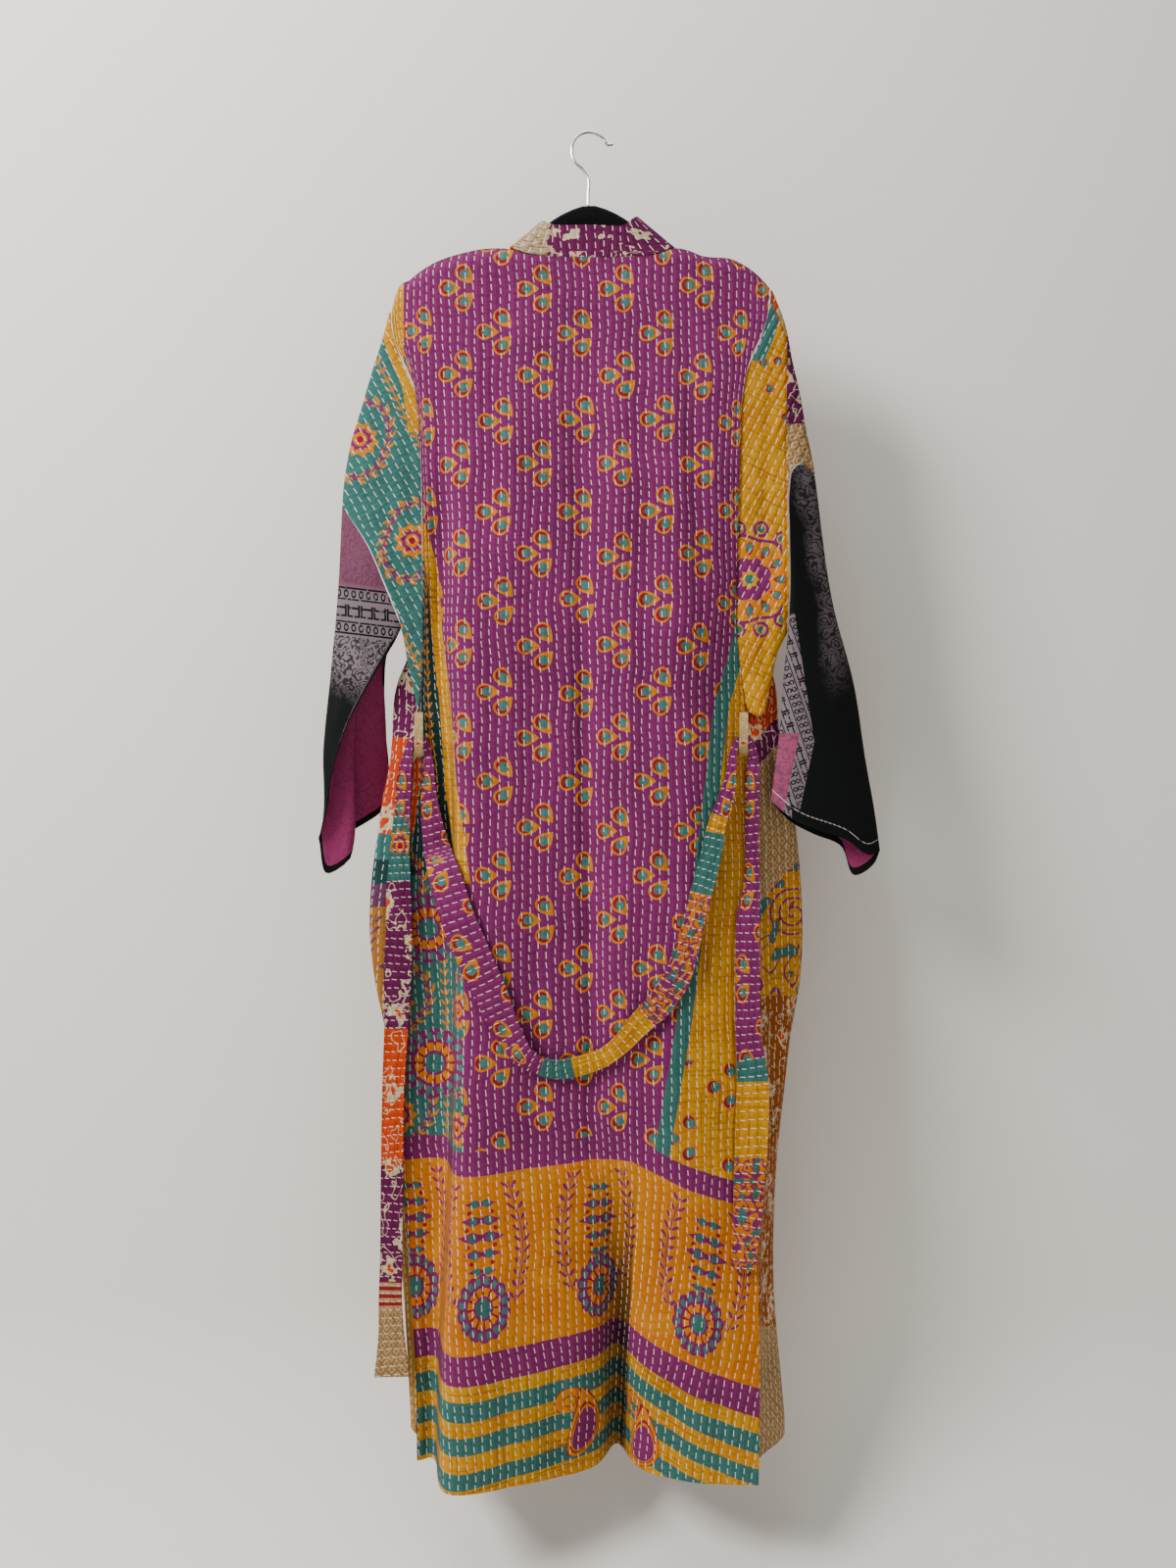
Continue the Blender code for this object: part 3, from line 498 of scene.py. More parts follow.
def buildSlubYellow(u, v):
    # Yellow cloth crossed by thin brown slubs that come and go.
    lineU = noise(u, v, 0.42, 0.012, 0.0, 21.0)
    lineV = noise(u, v, 0.012, 0.42, 0.0, 22.0)
    thin = lineU.over(0.635).most(lineV.over(0.635))
    patch = noise(u, v, 0.02, 0.02, 1.0, 23.0)
    colour = mix(patch.over(0.56) * 0.3, "yellow", "orange")
    return mix(thin * 0.55, colour, "brownLine")


def buildMandala(u, v, ground, size):
    # Round flower of the border, radius size: petal ring in purple with teal beads, small gold
    # petals and a teal heart.
    radius = distance(u, v) / size
    turn = v.angle(u)
    scallop = (turn * 7.0).sin().abs() * 0.10
    bead = (turn * 8.0).sin().abs()
    petal = (turn * 6.0).sin().abs()
    return cover(
        ground,
        ((radius - scallop).under(0.92), "purple"),
        (radius.between(0.70, 0.90) * bead.over(0.62), "paleTeal"),
        (radius.under(0.60), "ring"),
        (radius.between(0.34, 0.60) * petal.under(0.42), "maroon"),
        (radius.under(0.36), "purple"),
        (radius.under(0.28), "teal"),
    )


def leafPair(colour, across, run, pitch, tone, size=1.0):
    # Chain of leaves: pairs of slanted leaves each pitch along the run.
    step = run.fold(pitch)
    slant = across.abs() * 0.9 - step - pitch * 0.22
    reach = across.abs() - 3.6 * size
    body = (slant * slant * 0.22 + reach * reach * 0.10).under(0.9 * size)
    stem = across.abs().under(0.6)
    return mix(body.most(stem), colour, tone)


border = {
    "stripes": ((4.5, 23.0), (43.0, 62.5), (80.0, 102.0)),
    "band": (119.5, 153.5),
    "field": (153.5, 353.0),
    "topBand": (353.0, 380.0),
    "flowerPitch": 137.0,
    "flower": 204.0,
    "flowerSize": 30.0,
    "tierPitch": 19.0,
}


def buildBorder(u, b, ground):
    # Hem border by height b over the hem: stripes, the gold field with trees, round flowers and
    # leafy vines, and a plain purple band on top, over which the ground shows.
    h = b + (noise(u, b, 0.02, 0.02, 0.0, 31.0) - 0.5) * 3.0
    colour = use("slubYellow", u, b)
    for low, high in border["stripes"]:
        colour = mix(h.between(low, high), colour, "teal")
    colour = mix(h.between(*border["band"]), colour, "purple")
    field = mix(noise(u, b, 0.012, 0.012, 1.0, 32.0).over(0.5) * 0.25, "orange", "yellow")
    du = (u - 12.0).fold(border["flowerPitch"])
    dv = b - border["flower"]
    field = use("mandala", du, dv * 0.78, field, border["flowerSize"])
    # Trees: tiers of purple leaves that widen towards the middle, with teal buds and maroon tips.
    tier = (b - 246.0).fold(border["tierPitch"])
    spread = 20.0 - (b - 286.0).abs() * 0.20
    leaves = (tier.abs() + (du.abs() - spread * 0.5).abs() * 0.42).under(spread * 0.36)
    budU = du.abs() - spread * 0.52
    buds = (budU * budU + tier * tier * 0.8).under(17.0)
    nextTier = (b - 255.5).fold(border["tierPitch"])
    tipU = du.abs() - spread * 0.86
    tips = (tipU * tipU + nextTier * nextTier).under(6.0)
    field = cover(
        field,
        (leaves * b.between(236.0, 338.0), "purple"),
        (buds * b.between(238.0, 334.0), "teal"),
        (tips * b.between(246.0, 330.0), "maroon"),
    )
    bow = ((b - 200.0) * 0.023).sin() * 13.0
    vine = du.abs() - 33.0 - bow
    vines = leafPair(field, vine, b, 12.5, "purple", 1.45)
    field = mix(b.between(206.0, 344.0), field, vines)
    return cover(
        colour,
        (h.between(*border["field"]), field),
        (h.between(*border["topBand"]), "purple"),
        (h.over(border["topBand"][1]), ground),
    )


def buildPaisley(u, v, ground):
    # A bent drop about 62 mm tall with a curl at its head, gold with a purple heart.
    bend = u + v * v * 0.006 - 6.0
    body, s, _ = dropAt(v, bend, -8.0, 0.0, 0.0, 80.0, 40.0)
    curl = distance((u + 15.0) * 0.8944, v, 0.0, 20.0)
    hook = v.over(8.0)
    return cover(
        ground,
        (curl.between(6.0, 16.5) * hook, "maroon"),
        (curl.between(7.2, 15.3) * hook, "ring"),
        (body.over(-0.10) * s.between(-0.96, 0.96), "maroon"),
        (body.over(0.0), "ring"),
        (body.over(0.26), "maroon"),
        (body.over(0.36), "ring"),
        (body.over(0.46), "purple"),
    )


def buildFloral(u, v, ground):
    # Teal cloth with chains of gold and purple leaves round a flower, a repeat of 118 by 132 mm.
    du, dv = u.fold(118.0), v.fold(132.0)
    radius = distance(du, dv)
    turn = dv.angle(du)
    arc = turn * 34.0
    colour = ground
    chain = radius - 40.0 - (turn * 2.0).sin() * 7.0
    colour = leafPair(colour, chain, arc, 11.5, "ring")
    colour = leafPair(colour, chain + 3.0, arc + 5.0, 11.5, "purple", 0.75)
    petals = (turn * 5.0).sin().abs() * 5.0
    colour = cover(
        colour,
        ((radius + petals).under(22.0), "ring"),
        ((radius + petals * 0.6).under(14.5), "purple"),
        (radius.under(8.0), "ring"),
        (radius.under(4.0), "maroon"),
    )
    sprig = (du.abs() - 59.0).abs()
    return leafPair(colour, sprig, v, 12.0, "ring", 0.9)


def buildCream(u, v, ground):
    # Cream flowers with ragged petals and leaves on a coloured ground.
    warp = (noise(u, v, 0.06, 0.06, 1.0, 41.0) - 0.5) * 26.0
    cells = node(u.tree, "ShaderNodeTexVoronoi", voronoi_dimensions="2D", feature="F1")
    cells.inputs["Scale"].default_value = 1.0
    place = vectorOf(u.tree, (u + warp) * 0.026, (v - warp) * 0.026)
    connect(u.tree, place, cells.inputs["Vector"])
    away = Field(u.tree, cells.outputs["Distance"])
    ragged = (noise(u, v, 0.20, 0.20, 1.0, 42.0) - 0.5) * 0.55
    petals = (away + ragged).under(0.215)
    heart = away.under(0.10)
    leaf = noise(u, v, 0.07, 0.07, 1.0, 43.0).between(0.575, 0.605)
    colour = mix(petals.most(leaf * 0.9), ground, "cream")
    speck = noise(u, v, 0.5, 0.5, 0.0, 44.0).over(0.6)
    colour = mix(petals * speck * 0.5, colour, "beige")
    return mix(heart, colour, "flame")


def buildLattice(u, v):
    # Beige cloth with a brown diamond lattice and a dot in each diamond.
    a = (u + v * 0.9) * 0.70711
    c = (u - v * 0.9) * 0.70711
    line = a.fold(9.0).abs().under(1.1).most(c.fold(9.0).abs().under(1.1))
    da = (a - 4.5).fold(9.0)
    dc = (c - 4.5).fold(9.0)
    dot = (da * da + dc * dc).under(3.2)
    rough = noise(u, v, 0.4, 0.4, 1.0, 51.0)
    return mix(line.most(dot) * 0.75 * (rough + 0.35), "beige", "brown")


def buildFrieze(u, v, ground, ink):
    # Rows of block-printed bands along u, 34 mm in all: rings, keys and rings between thin lines.
    lines = v.abs().between(15.6, 17.0).most(v.abs().between(7.6, 8.8))
    ring = distance(u.fold(9.0), v.abs(), 0.0, 12.2).between(1.5, 3.0)
    stepU = u.fold(16.0)
    key = stepU.abs().under(5.5) * v.between(1.2, 2.8)
    key = key.most((stepU.abs() - 6.5).abs().under(1.2) * v.abs().under(4.4))
    key = key.most((stepU.abs() - 4.0).abs().under(3.2) * v.between(-4.6, -3.2))
    worn = noise(u, v, 0.3, 0.3, 1.0, 61.0).over(0.34)
    inked = lines.most(ring).most(key) * v.abs().under(17.0) * worn
    return mix(inked, ground, ink)


def buildLace(u, v, ground, ink):
    # Fine scrolls and buds printed over a ground: contour lines of two noises.
    first = noise(u, v, 0.045, 0.045, 1.0, 71.0)
    second = noise(u, v, 0.10, 0.10, 1.0, 72.0)
    scroll = (first * 9.0).fold(1.0).abs().under(0.16)
    bud = second.over(0.61)
    dots = (u.fold(6.0) * u.fold(6.0) + v.fold(6.0) * v.fold(6.0)).under(2.2) * second.under(0.45)
    return mix(scroll.most(bud).most(dots) * 0.85, ground, ink)


shared = {}
for label, inputs, outputs, build in (
    ("slubYellow", "U V", "Color", buildSlubYellow),
    ("mandala", "U V Ground Radius", "Color", buildMandala),
    ("trio", "U V Ground", "Color", buildTrio),
    ("stitch", "U V", "Thread Height Tone", buildStitch),
    ("slub", "U V", "Tone Height", buildSlub),
    ("border", "U Height Ground", "Color", buildBorder),
    ("paisley", "U V Ground", "Color", buildPaisley),
    ("floral", "U V Ground", "Color", buildFloral),
    ("cream", "U V Ground", "Color", buildCream),
    ("lattice", "U V", "Color", buildLattice),
    ("frieze", "U V Ground Ink", "Color", buildFrieze),
    ("lace", "U V Ground Ink", "Color", buildLace),
):
    shared[label] = group(label, inputs, outputs, build)
print("prints made")


# Materials.

def newMaterial(name, values):
    # A principled material with its plain inputs set, its tree and its shader.
    material = bpy.data.materials.new(name)
    material.use_nodes = True
    shader = material.node_tree.nodes["Principled BSDF"]
    for label, value in values.items():
        connect(material.node_tree, value, shader.inputs[label])
    return material, material.node_tree, shader


def addBump(tree, shader, height, strength, reach):
    # Bump from a height; reach is the metres that a height of 1 stands for.
    made = node(tree, "ShaderNodeBump")
    made.inputs["Strength"].default_value = strength
    made.inputs["Distance"].default_value = reach
    connect(tree, height, made.inputs["Height"])
    connect(tree, made.outputs[0], shader.inputs["Normal"])


def clothMaterial(name, paint, rough=0.9, stitches=True, turned=False, folded=False):
    # paint(u, v, x, z) returns the printed colour: u and v run over the cloth and x and z are the
    # outline, all in millimetres. Thread, weave, puckers with their painted shade and bump come on
    # top. turned lays the rows of stitches across. Folded cloth has a hem layer whose second number
    # is 1 on the open cloth and falls to 0 on the walls of its folds, where the thread sinks in and
    # painted shade darkens the colour.
    material, tree, shader = newMaterial(name, {
        "Roughness": rough, "Sheen Weight": 0.02, "Sheen Roughness": 0.45, "Specular IOR Level": 0.12,
    })
    u, v, x, z = (value * 1000.0 for value in (*layer(tree, "cloth"), *layer(tree, "seen")))
    colour = paint(u, v, x, z)
    tone, height = use("slub", u, v)
    if stitches:
        thread, pucker, puckerShade = use("stitch", *((v, u * -1.0) if turned else (u, v)))
        # The puckers' painted shade darkens the colour.
        colour = shade(colour, puckerShade)
        height = height + pucker
    colour = shade(colour, tone)
    if folded:
        _, facing = layer(tree, "hem")
        thread = thread * facing
        # Painted shade: the colour falls to 0.65 on the walls of the folds.
        colour = shade(colour, facing * 0.35 + 0.65)
    if stitches:
        colour = mix(thread * sewing["shown"], colour, "thread")
    connect(tree, colour, shader.inputs["Base Color"])
    addBump(tree, shader, height, 0.9, 0.001)
    return material


def edgesOf(u):
    return [value * 1000.0 for value in layer(u.tree, "edges")]


def paintBack(u, v, x, z):
    # Purple field of drops between the side borders, over the hem border. edges hold how far a
    # point lies right of the left border's line and right of the right border's line.
    left, right = edgesOf(u)
    height = layer(u.tree, "hem")[0] * 1000.0
    colour = use("trio", u + 61.0, v + 181.0, "purple")
    # The floral ground is dark teal above z -860 and teal below: painted shade on the recessed left side.
    floral = use("floral", u + 155.0, v + 1010.0, mix(z.under(-860.0), "darkTeal", "teal"))
    for place in ((-188.0, -922.0), (-180.0, -1078.0)):
        floral = use("mandala", x - place[0], z - place[1], floral, 40.0)
    colour = mix(left.under(0.0), colour, floral)
    stripe = left.between(0.0, 14.0) * z.over(-870.0)
    slub = use("slubYellow", u, v)
    yellow = mix(z.over(-1075.0), use("trio", u + 20.0, v + 1098.0, slub), slub)
    colour = cover(
        colour,
        (stripe, slub),
        (right.over(18.0), yellow),
        (right.between(0.0, 18.0), "teal"),
    )
    colour = use("border", u, height, colour)
    for place in ((-15.0, 55.0), (106.0, 40.0)):
        colour = use("paisley", u - place[0], height - place[1], colour)
    # The deep fold at the hem holds less light than the cloth beside it, up to the lip on its right.
    depth = ((z * -1.0 - 1190.0) * (1.0 / 150.0)).held()
    lip = (z + 1190.0) * 0.045 + 57.0
    within = ((x - 4.0) * (1.0 / 34.0)).held() * ((lip - x) * 0.5).held()
    return shade(colour, 1.0 - depth * within * 0.80)


def paintFront(side):
    # The fronts' outer face is pieced of flowered, latticed and striped cloths, one above the
    # other: each row gives the level where a piece ends and its cloth, with slanting joins.
    rows = {
        "left": (
            (-200, "creamPurple"), (-575, "lattice"), (-700, "creamPurple"), (-812, "creamFlame"),
            (-842, "floral"), (-2000, "inside"),
        ),
        "right": (
            (-205, "flame"), (-345, "creamPurple"), (-640, "lattice"), (-712, "creamFlame"),
            (-745, "creamPurple"), (-905, "lattice"), (-2000, "inside"),
        ),
    }[side]
    slope = 0.0 if side == "left" else 1.1

    def paint(u, v, x, z):
        level = z - (x - 185.0) * slope if slope else z
        cloths = {
            "creamPurple": use("cream", u * 0.65, v * 0.65, "deepPurple"),
            "creamFlame": use("cream", u * 0.65 + 40.0, v * 0.65, "flame"),
            "flame": "flame",
            "lattice": use("lattice", u, v),
            "floral": use("floral", u, v, "teal"),
        }
        if side == "left":
            dark = use("border", u, z + 1250.0, "darkTeal")
            cloths["inside"] = mix(0.45, dark, "darkTeal")
        else:
            # Gold cloth with a spiral and fine vines in purple and with teal leaves, over flowers.
            spiral = distance(x, z, 236.0, -905.0)
            turns = spiral * 0.095 + (z + 905.0).angle(x - 236.0) * (0.5 / math.pi)
            turns = turns.fold(1.0).abs().under(0.12)
            curl = noise(u, v, 0.022, 0.022, 0.0, 114.0)
            vine = (curl * 5.0).fold(1.0).abs().under(0.07)
            leaf = noise(u, v, 0.05, 0.05, 0.0, 113.0)
            cloths["inside"] = cover(
                use("slubYellow", u, v),
                (turns * spiral.under(33.0), "purple"),
                (vine * spiral.over(36.0), "purple"),
                (leaf.over(0.64), "maroon"),
                (leaf.over(0.665), "teal"),
                (z.under(-1000.0), use("cream", u, v, "brownLine")),
                (z.under(-1385.0), cloths["lattice"]),
            )
        return cover(cloths[rows[-1][1]], *((level.over(end), cloths[kind]) for end, kind in rows[-2::-1]))
    return paint


def paintLining(u, v, x, z):
    return use("cream", u, v, "deepPurple")


def paintFacing(u, v, x, z):
    return use("slubYellow", u, v)


def paintSleeve(side):
    # Left: yellow stripe along the armhole, then teal with florals. Right: teal stripe, then yellow
    # with slubs, small drops and one big round flower. edges.x is the distance from the armhole.
    def paint(u, v, x, z):
        away, _ = edgesOf(u)
        slub = use("slubYellow", u, v)
        if side == "left":
            return mix(away.under(13.0) * z.over(-345.0), use("floral", u + 44.0, v + 62.0, "teal"), slub)
        colour = slub
        for place in ((203, -266, -1.0), (220, -264, -0.9), (211, -294, 0.0), (228, -330, -1.2)):
            colour = eyeColour(colour, x, z, *place, 17.0, 12.0)
        du, dv = x - 186.0, z + 516.0
        radius = distance(du, dv)
        angle = dv.angle(du)
        # Loops in an outer circle with a teal bud in each, and scrolls under them.
        across = angle.fold(math.pi / 7.0) * radius
        reach = distance(across, radius, 0.0, 60.0)
        tops = du.abs().under(38.0) * radius.over(44.0)
        scroll = reach.between(6.0, 9.4).most((radius - 49.0 - (angle * 7.0).cos() * 2.6).abs().under(1.9))
        across = angle.fold(math.pi / 6.0) * radius
        body, _, _ = dropAt(radius, across, 35.0, 0.0, math.pi, 16.0, 9.5)
        petals = (angle * 4.0).sin().abs() * 4.0
        # Beyond the fold of the yellow cloth the front's flowered cloth shows in a narrow strip, with a brown
        # band of painted shade along the fold.
        turned = x - ((z * -1.0 - 176.0) * 0.38 + 206.0).least(229.0)
        cloth = cover(
            use("cream", u, v, "deepPurple"),
            (z.over(-234.0), "beige"),
            (z.over(-203.0), "flame"),
            (z.under(-335.0), use("lattice", u, v)),
        )
        return cover(
            colour,
            (scroll * tops, "purple"),
            (reach.under(4.2) * tops, "teal"),
            (radius.under(44.0), "ring"),
            (body.over(0.0), "maroon"),
            (body.over(0.36), "paleTeal"),
            ((radius - petals).under(22.0), "purple"),
            ((radius + petals * 0.8).under(12.0), "yellow"),
            (radius.under(5.5), "teal"),
            (away.under(15.0) * z.over(-262.0), "teal"),
            # Painted shade: a narrow brown band just inside the fold.
            (turned.between(-2.6, 0.0) * 0.55, "brownLine"),
            (turned.over(0.0) * z.over(-420.0), cloth),
        )
    return paint


def paintSari(side):
    # Thin sari cloth dyed from mauve through grey to black, with printed bands and scrolls. edges.y
    # is the distance from the mouth, where a black hem is sewn down with pale thread.
    def paint(u, v, x, z):
        _, mouth = edgesOf(u)
        wash = (noise(u, v, 0.02, 0.02, 2.0, 91.0) - 0.5) * 60.0
        if side == "left":
            level = z + x * 0.12 + 34.0
            ground = mix(((level * -1.0) - 520.0) * (1.0 / 12.0), "mauve", "lace")
            dusk = ((level * -1.0) - 606.0 + (x + 300.0) * -0.5 + wash * 0.4) * (1.0 / 46.0)
            ground = mix(dusk.held(), ground, "ink")
            faint = use("lace", u, v, ground, "mauveInk")
            colour = mix(level.over(-520.0) * 0.6, ground, faint)
            banded = use("frieze", x * 1.05, (level + 552.0) * 0.62, ground, "ink")
            colour = mix((level + 552.0).abs().under(29.0), colour, banded)
            lace = use("lace", u * 1.5, v * 1.5, ground, "ink")
            colour = mix(level.between(-720.0, -582.0), colour, lace)
        else:
            lean = x - 247.0 - (z * -1.0 - 366.0) * 0.17
            veil = 1.0 - (lean.abs() - 5.0 + wash * 0.5) * (1.0 / 15.0)
            fade = (z * -1.0 - 560.0 + wash) * (1.0 / 100.0)
            veil = veil.held() * (1.0 - fade.held())
            lace = use("lace", u * 1.1, v * 1.1, "lace", "ink")
            colour = mix(veil * 0.62, "ink", lace)
            # The turned strip along the underarm edge shows the printed bands and the mauve.
            upper = (z * -1.0 - 560.0) * 0.152 + 239.0
            lower = (z + 705.0) * 0.21 + 261.0
            strip = (x - upper.least(lower)).under(0.0) * z.under(-556.0)
            along = x * 0.32 - z
            away = x * 0.95 + z * 0.32
            banded = use("frieze", along, (away - 62.0).fold(30.0), "lace", "ink")
            colour = mix(strip, colour, banded)
            pink = strip * z.under(-695.0) * (x - 243.0 - (z + 700.0) * 0.2).under(0.0)
            colour = mix(pink, colour, use("lace", u, v, "pink", "mauve"))
        colour = mix(mouth.under(16.0) * (1.0 if side == "left" else x.over(235.0)), colour, "ink")
        topstitch = (mouth - 13.0).abs().under(0.4) * (x + z).fold(3.4).abs().under(1.15)
        return mix(topstitch * 0.8, colour, "thread")
    return paint


def paintSariInside(u, v, x, z):
    _, mouth = edgesOf(u)
    printed = use("lace", u * 1.2, v * 1.2, "lining", "purple")
    cloud = noise(u, v, 0.03, 0.03, 2.0, 95.0)
    return mix(mouth.under(9.0), mix(cloud * 0.9, printed, "lining"), "ink")


def patched(u, v):
    # Gold cloth crowded with purple scrolls and teal leaves, where two noises pass their levels.
    first = noise(u, v, 0.055, 0.055, 1.0, 111.0)
    second = noise(u, v, 0.07, 0.07, 0.0, 112.0)
    return cover(
        "orange",
        ((first * 6.0).fold(1.0).abs().under(0.20), "purple"),
        (second.over(0.60), "maroon"),
        (second.over(0.625), "teal"),
        (first.under(0.36), "purple"),
    )


def paintBelt(kind):
    # The belt is pieced along its length: each row gives how far from the loop a piece ends and
    # its cloth. v runs along the belt from its loop.
    rows = {
        "drapeLeft": ((432, "trio"), (2000, "teal")),
        "drapeRight": ((100, "trio"), (120, "slub"), (190, "teal"), (345, "scroll"), (2000, "slub")),
        "endLeft": ((95, "trio"), (140, "floral"), (172, "teal"), (345, "creamPurple"), (505, "creamFlame"),
                    (640, "creamPurple"), (672, "lines"), (2000, "lattice")),
        "endRight": ((372, "trio"), (397, "teal"), (482, "slub"), (2000, "scroll")),
    }[kind]

    def paint(u, v, x, z):
        slub = use("slubYellow", u, v)
        cloths = {
            "trio": use("trio", u + 14.0, v + 30.0, "purple"),
            "teal": "teal",
            "slub": slub,
            "scroll": patched(u, v),
            "floral": use("floral", u, v, "teal"),
            "creamPurple": use("cream", u * 0.62, v * 0.62, "deepPurple"),
            "creamFlame": use("cream", u * 0.62, v * 0.62, "flame"),
            "lines": mix(v.fold(9.0).abs().under(2.2), "beige", "maroon"),
            "lattice": use("lattice", u, v),
        }
        return cover(cloths[rows[-1][1]], *((v.under(end), cloths[kind]) for end, kind in rows[-2::-1]))
    return paint


def paintCollar(u, v, x, z):
    # Flowered purple with a beige and flame piece at the left shoulder.
    cloud = noise(u, v, 0.045, 0.06, 2.0, 103.0)
    plain = mix(cloud.over(0.585), "deepPurple", "cream")
    colour = mix(z.under(-135.0), plain, use("cream", u * 0.8, v, "deepPurple"))
    grain = noise(u, v, 0.12, 0.5, 2.0, 101.0)
    tan = mix((grain - 0.30) * 2.4, "brown", "cream")
    ragged = x + (noise(u, v, 0.10, 0.10, 1.0, 102.0) - 0.5) * 30.0
    return cover(
        colour,
        (ragged.under(-44.0) * z.over(-200.0), tan),
        (x.under(-88.0) * z.over(-200.0), "flame"),
        (z.under(-200.0), use("slubYellow", u, v)),
    )


def paintLoop(u, v, x, z):
    return use("cream", u * 1.6, v * 1.6, "beige")


finish = {
    "back": clothMaterial("backCloth", paintBack, folded=True),
    "backInside": clothMaterial("insideCloth", paintLining),
    "frontInside": clothMaterial("frontInsideCloth", paintFacing),
    "sleeveInside": clothMaterial("sleeveInsideCloth", paintLining),
    "sariInside": clothMaterial("sariLiningCloth", paintSariInside, rough=0.75, stitches=False),
    "collar": clothMaterial("collarCloth", paintCollar),
    "loop": clothMaterial("loopCloth", paintLoop, stitches=False),
}
for side in ("left", "right"):
    word = side.capitalize()
    finish["front" + word] = clothMaterial("front" + word + "Cloth", paintFront(side))
    finish["sleeve" + word] = clothMaterial("sleeve" + word + "Cloth", paintSleeve(side))
    finish["sari" + word] = clothMaterial("sari" + word + "Cloth", paintSari(side), 0.75, False)
    for kind in ("drape", "end"):
        name = "belt" + kind.capitalize() + word + "Cloth"
        finish[kind + word] = clothMaterial(name, paintBelt(kind + word), turned=True)
print("cloths made")


# Back panel and fronts.

# Top edge: shoulders over the hanger and the neckline between them, as x, z, y.
shoulder = (
    (-230, -204, 0), (-226, -188, 0), (-208, -168, 0), (-188, -153, 0), (-149, -138, 0),
    (-111, -132, 0), (-93, -133, -4), (-75, -138, -9), (-40, -141, -12), (0, -142, -12),
    (45, -141, -12), (80, -138, -9), (98, -132, -4), (116, -135, 0), (128, -140, 0),
    (171, -147, 0), (197, -165, 0), (209, -178, 0),
)

back = {
    "rows": 170,
    "stations": ("left", "foot", "pleat", "panel", "lip", "fold", "turn", "yoke", "right"),
    "topX": (-230, -202, -165, -65, -2, 30, 60, 117, 209),
    "cells": (10, 10, 12, 9, 10, 10, 10, 15),
    "levels": (-204, -298, -389, -480, -571, -674, -754, -868, -982, -1096, -1187, -1312, -1438, -1580),
    "x": {
        "left": (-230, -203, -196, -195, -194, -197, -198, -210, -215, -218, -218, -210, -202, -200),
        "foot": (-202, -185, -171, -171, -173, -168, -164, -162, -162, -164, -168, -173, -178, -180),
        "pleat": (-168, -150, -146, -146, -146, -146, -146, -146, -147, -148, -150, -155, -161, -164),
        "panel": (-65,) * 9 + (-66, -67, -68, -70, -71),
        "lip": (-2,) * 11 + (0, 2, 3),
        "fold": (30,) * 12 + (31, 32),
        "turn": (60,) * 14,
        "yoke": (117, 115, 113, 112, 112, 113, 115, 116, 117, 118, 118, 118, 117, 117),
        "right": (202, 178, 174, 171, 170, 181, 186, 190, 194, 201, 203, 196, 197, 196),
    },
    "y": {
        "left": (-5, -10, -12, -12, -9, -1, 0, 4, 8, 10, 12, 12, 12, 11),
        "foot": (-9, -14, -14, -8, -2, 2, 4, 6, 10, 12, 14, 14, 14, 13),
        "pleat": (-11, -17, -22, -27, -32, -35, -38, -41, -44, -47, -49, -51, -53, -55),
        "panel": (-12, -18, -24, -28, -31, -34, -37, -40, -42, -44, -45, -44, -40, -32),
        "lip": (-11, -14, -19, -23, -26, -29, -32, -35, -37, -39, -38, -29, -14, 2),
        "fold": (-12, -18, -24, -28, -31, -34, -37, -40, -42, -42, -36, -6, 28, 54),
        "turn": (-12, -18, -25, -29, -32, -35, -38, -41, -43, -44, -42, -31, -17, -2),
        "yoke": (-11, -17, -24, -29, -32, -35, -38, -41, -44, -46, -46, -43, -38, -29),
        "right": (-5, -10, -12, -12, -9, -4, -8, -14, -20, -24, -28, -32, -36, -38),
    },
    # Borders of the print, as x at levels z: where the left and right side borders begin.
    "leftLine": (
        (-230, -389), (-200, -470), (-190, -505), (-185, -575), (-175, -653), (-168, -754),
        (-154, -856), (-147, -900), (-146, -1000), (-146, -1600),
    ),
    "rightLine": (
        (174, -480), (167, -582), (144, -662), (136, -731), (120, -868), (100, -1038), (75, -1184),
        (40, -1400),
    ),
    # How far the hem border hangs below the level line, by x.
    "borderDrop": ((-146, 0), (-75, -7), (-2, -15), (50, -14), (110, 14), (163, 34), (197, 44)),
    # Soft troughs: x1, z1, x2, z2, width, depth.
    "creases": (
        (-14, -330, -4, -780, 11, 4.6), (-6, -640, 4, -1190, 9, 5.6), (-66, -300, -60, -900, 20, 3.2),
        (-100, -170, -120, -520, 15, 3.0), (62, -240, 66, -760, 17, 3.4), (112, -200, 128, -560, 12, 3.6),
        (-170, -300, -166, -560, 9, 2.6), (-60, -900, -62, -1160, 14, 3.0), (66, -880, 62, -1160, 15, 3.4),
        (-34, -420, -38, -700, 9, 2.2), (30, -500, 34, -860, 10, 2.6), (96, -640, 88, -980, 11, 2.8),
        (-112, -560, -104, -860, 12, 2.6), (-30, -820, -26, -1120, 8, 2.0), (116, -1030, 108, -1180, 9, 2.2),
        (-128, -1323, 10, -1289, 4, 2.0), (-150, -1182, 60, -1168, 5, 1.6), (-150, -995, 120, -1006, 7, 0.8),
        (-140, -1398, 20, -1376, 5, 1.4), (78, -1230, 100, -1330, 5, 2.4), (110, -1320, 116, -1420, 7, 1.8),
        (-96, -1380, -92, -1545, 12, 3.0), (-40, -1400, -36, -1545, 13, 3.4), (96, -1400, 94, -1545, 12, 3.2),
        (-120, -1200, -118, -1380, 10, 2.2), (150, -1260, 146, -1540, 10, 2.6),
    ),
}

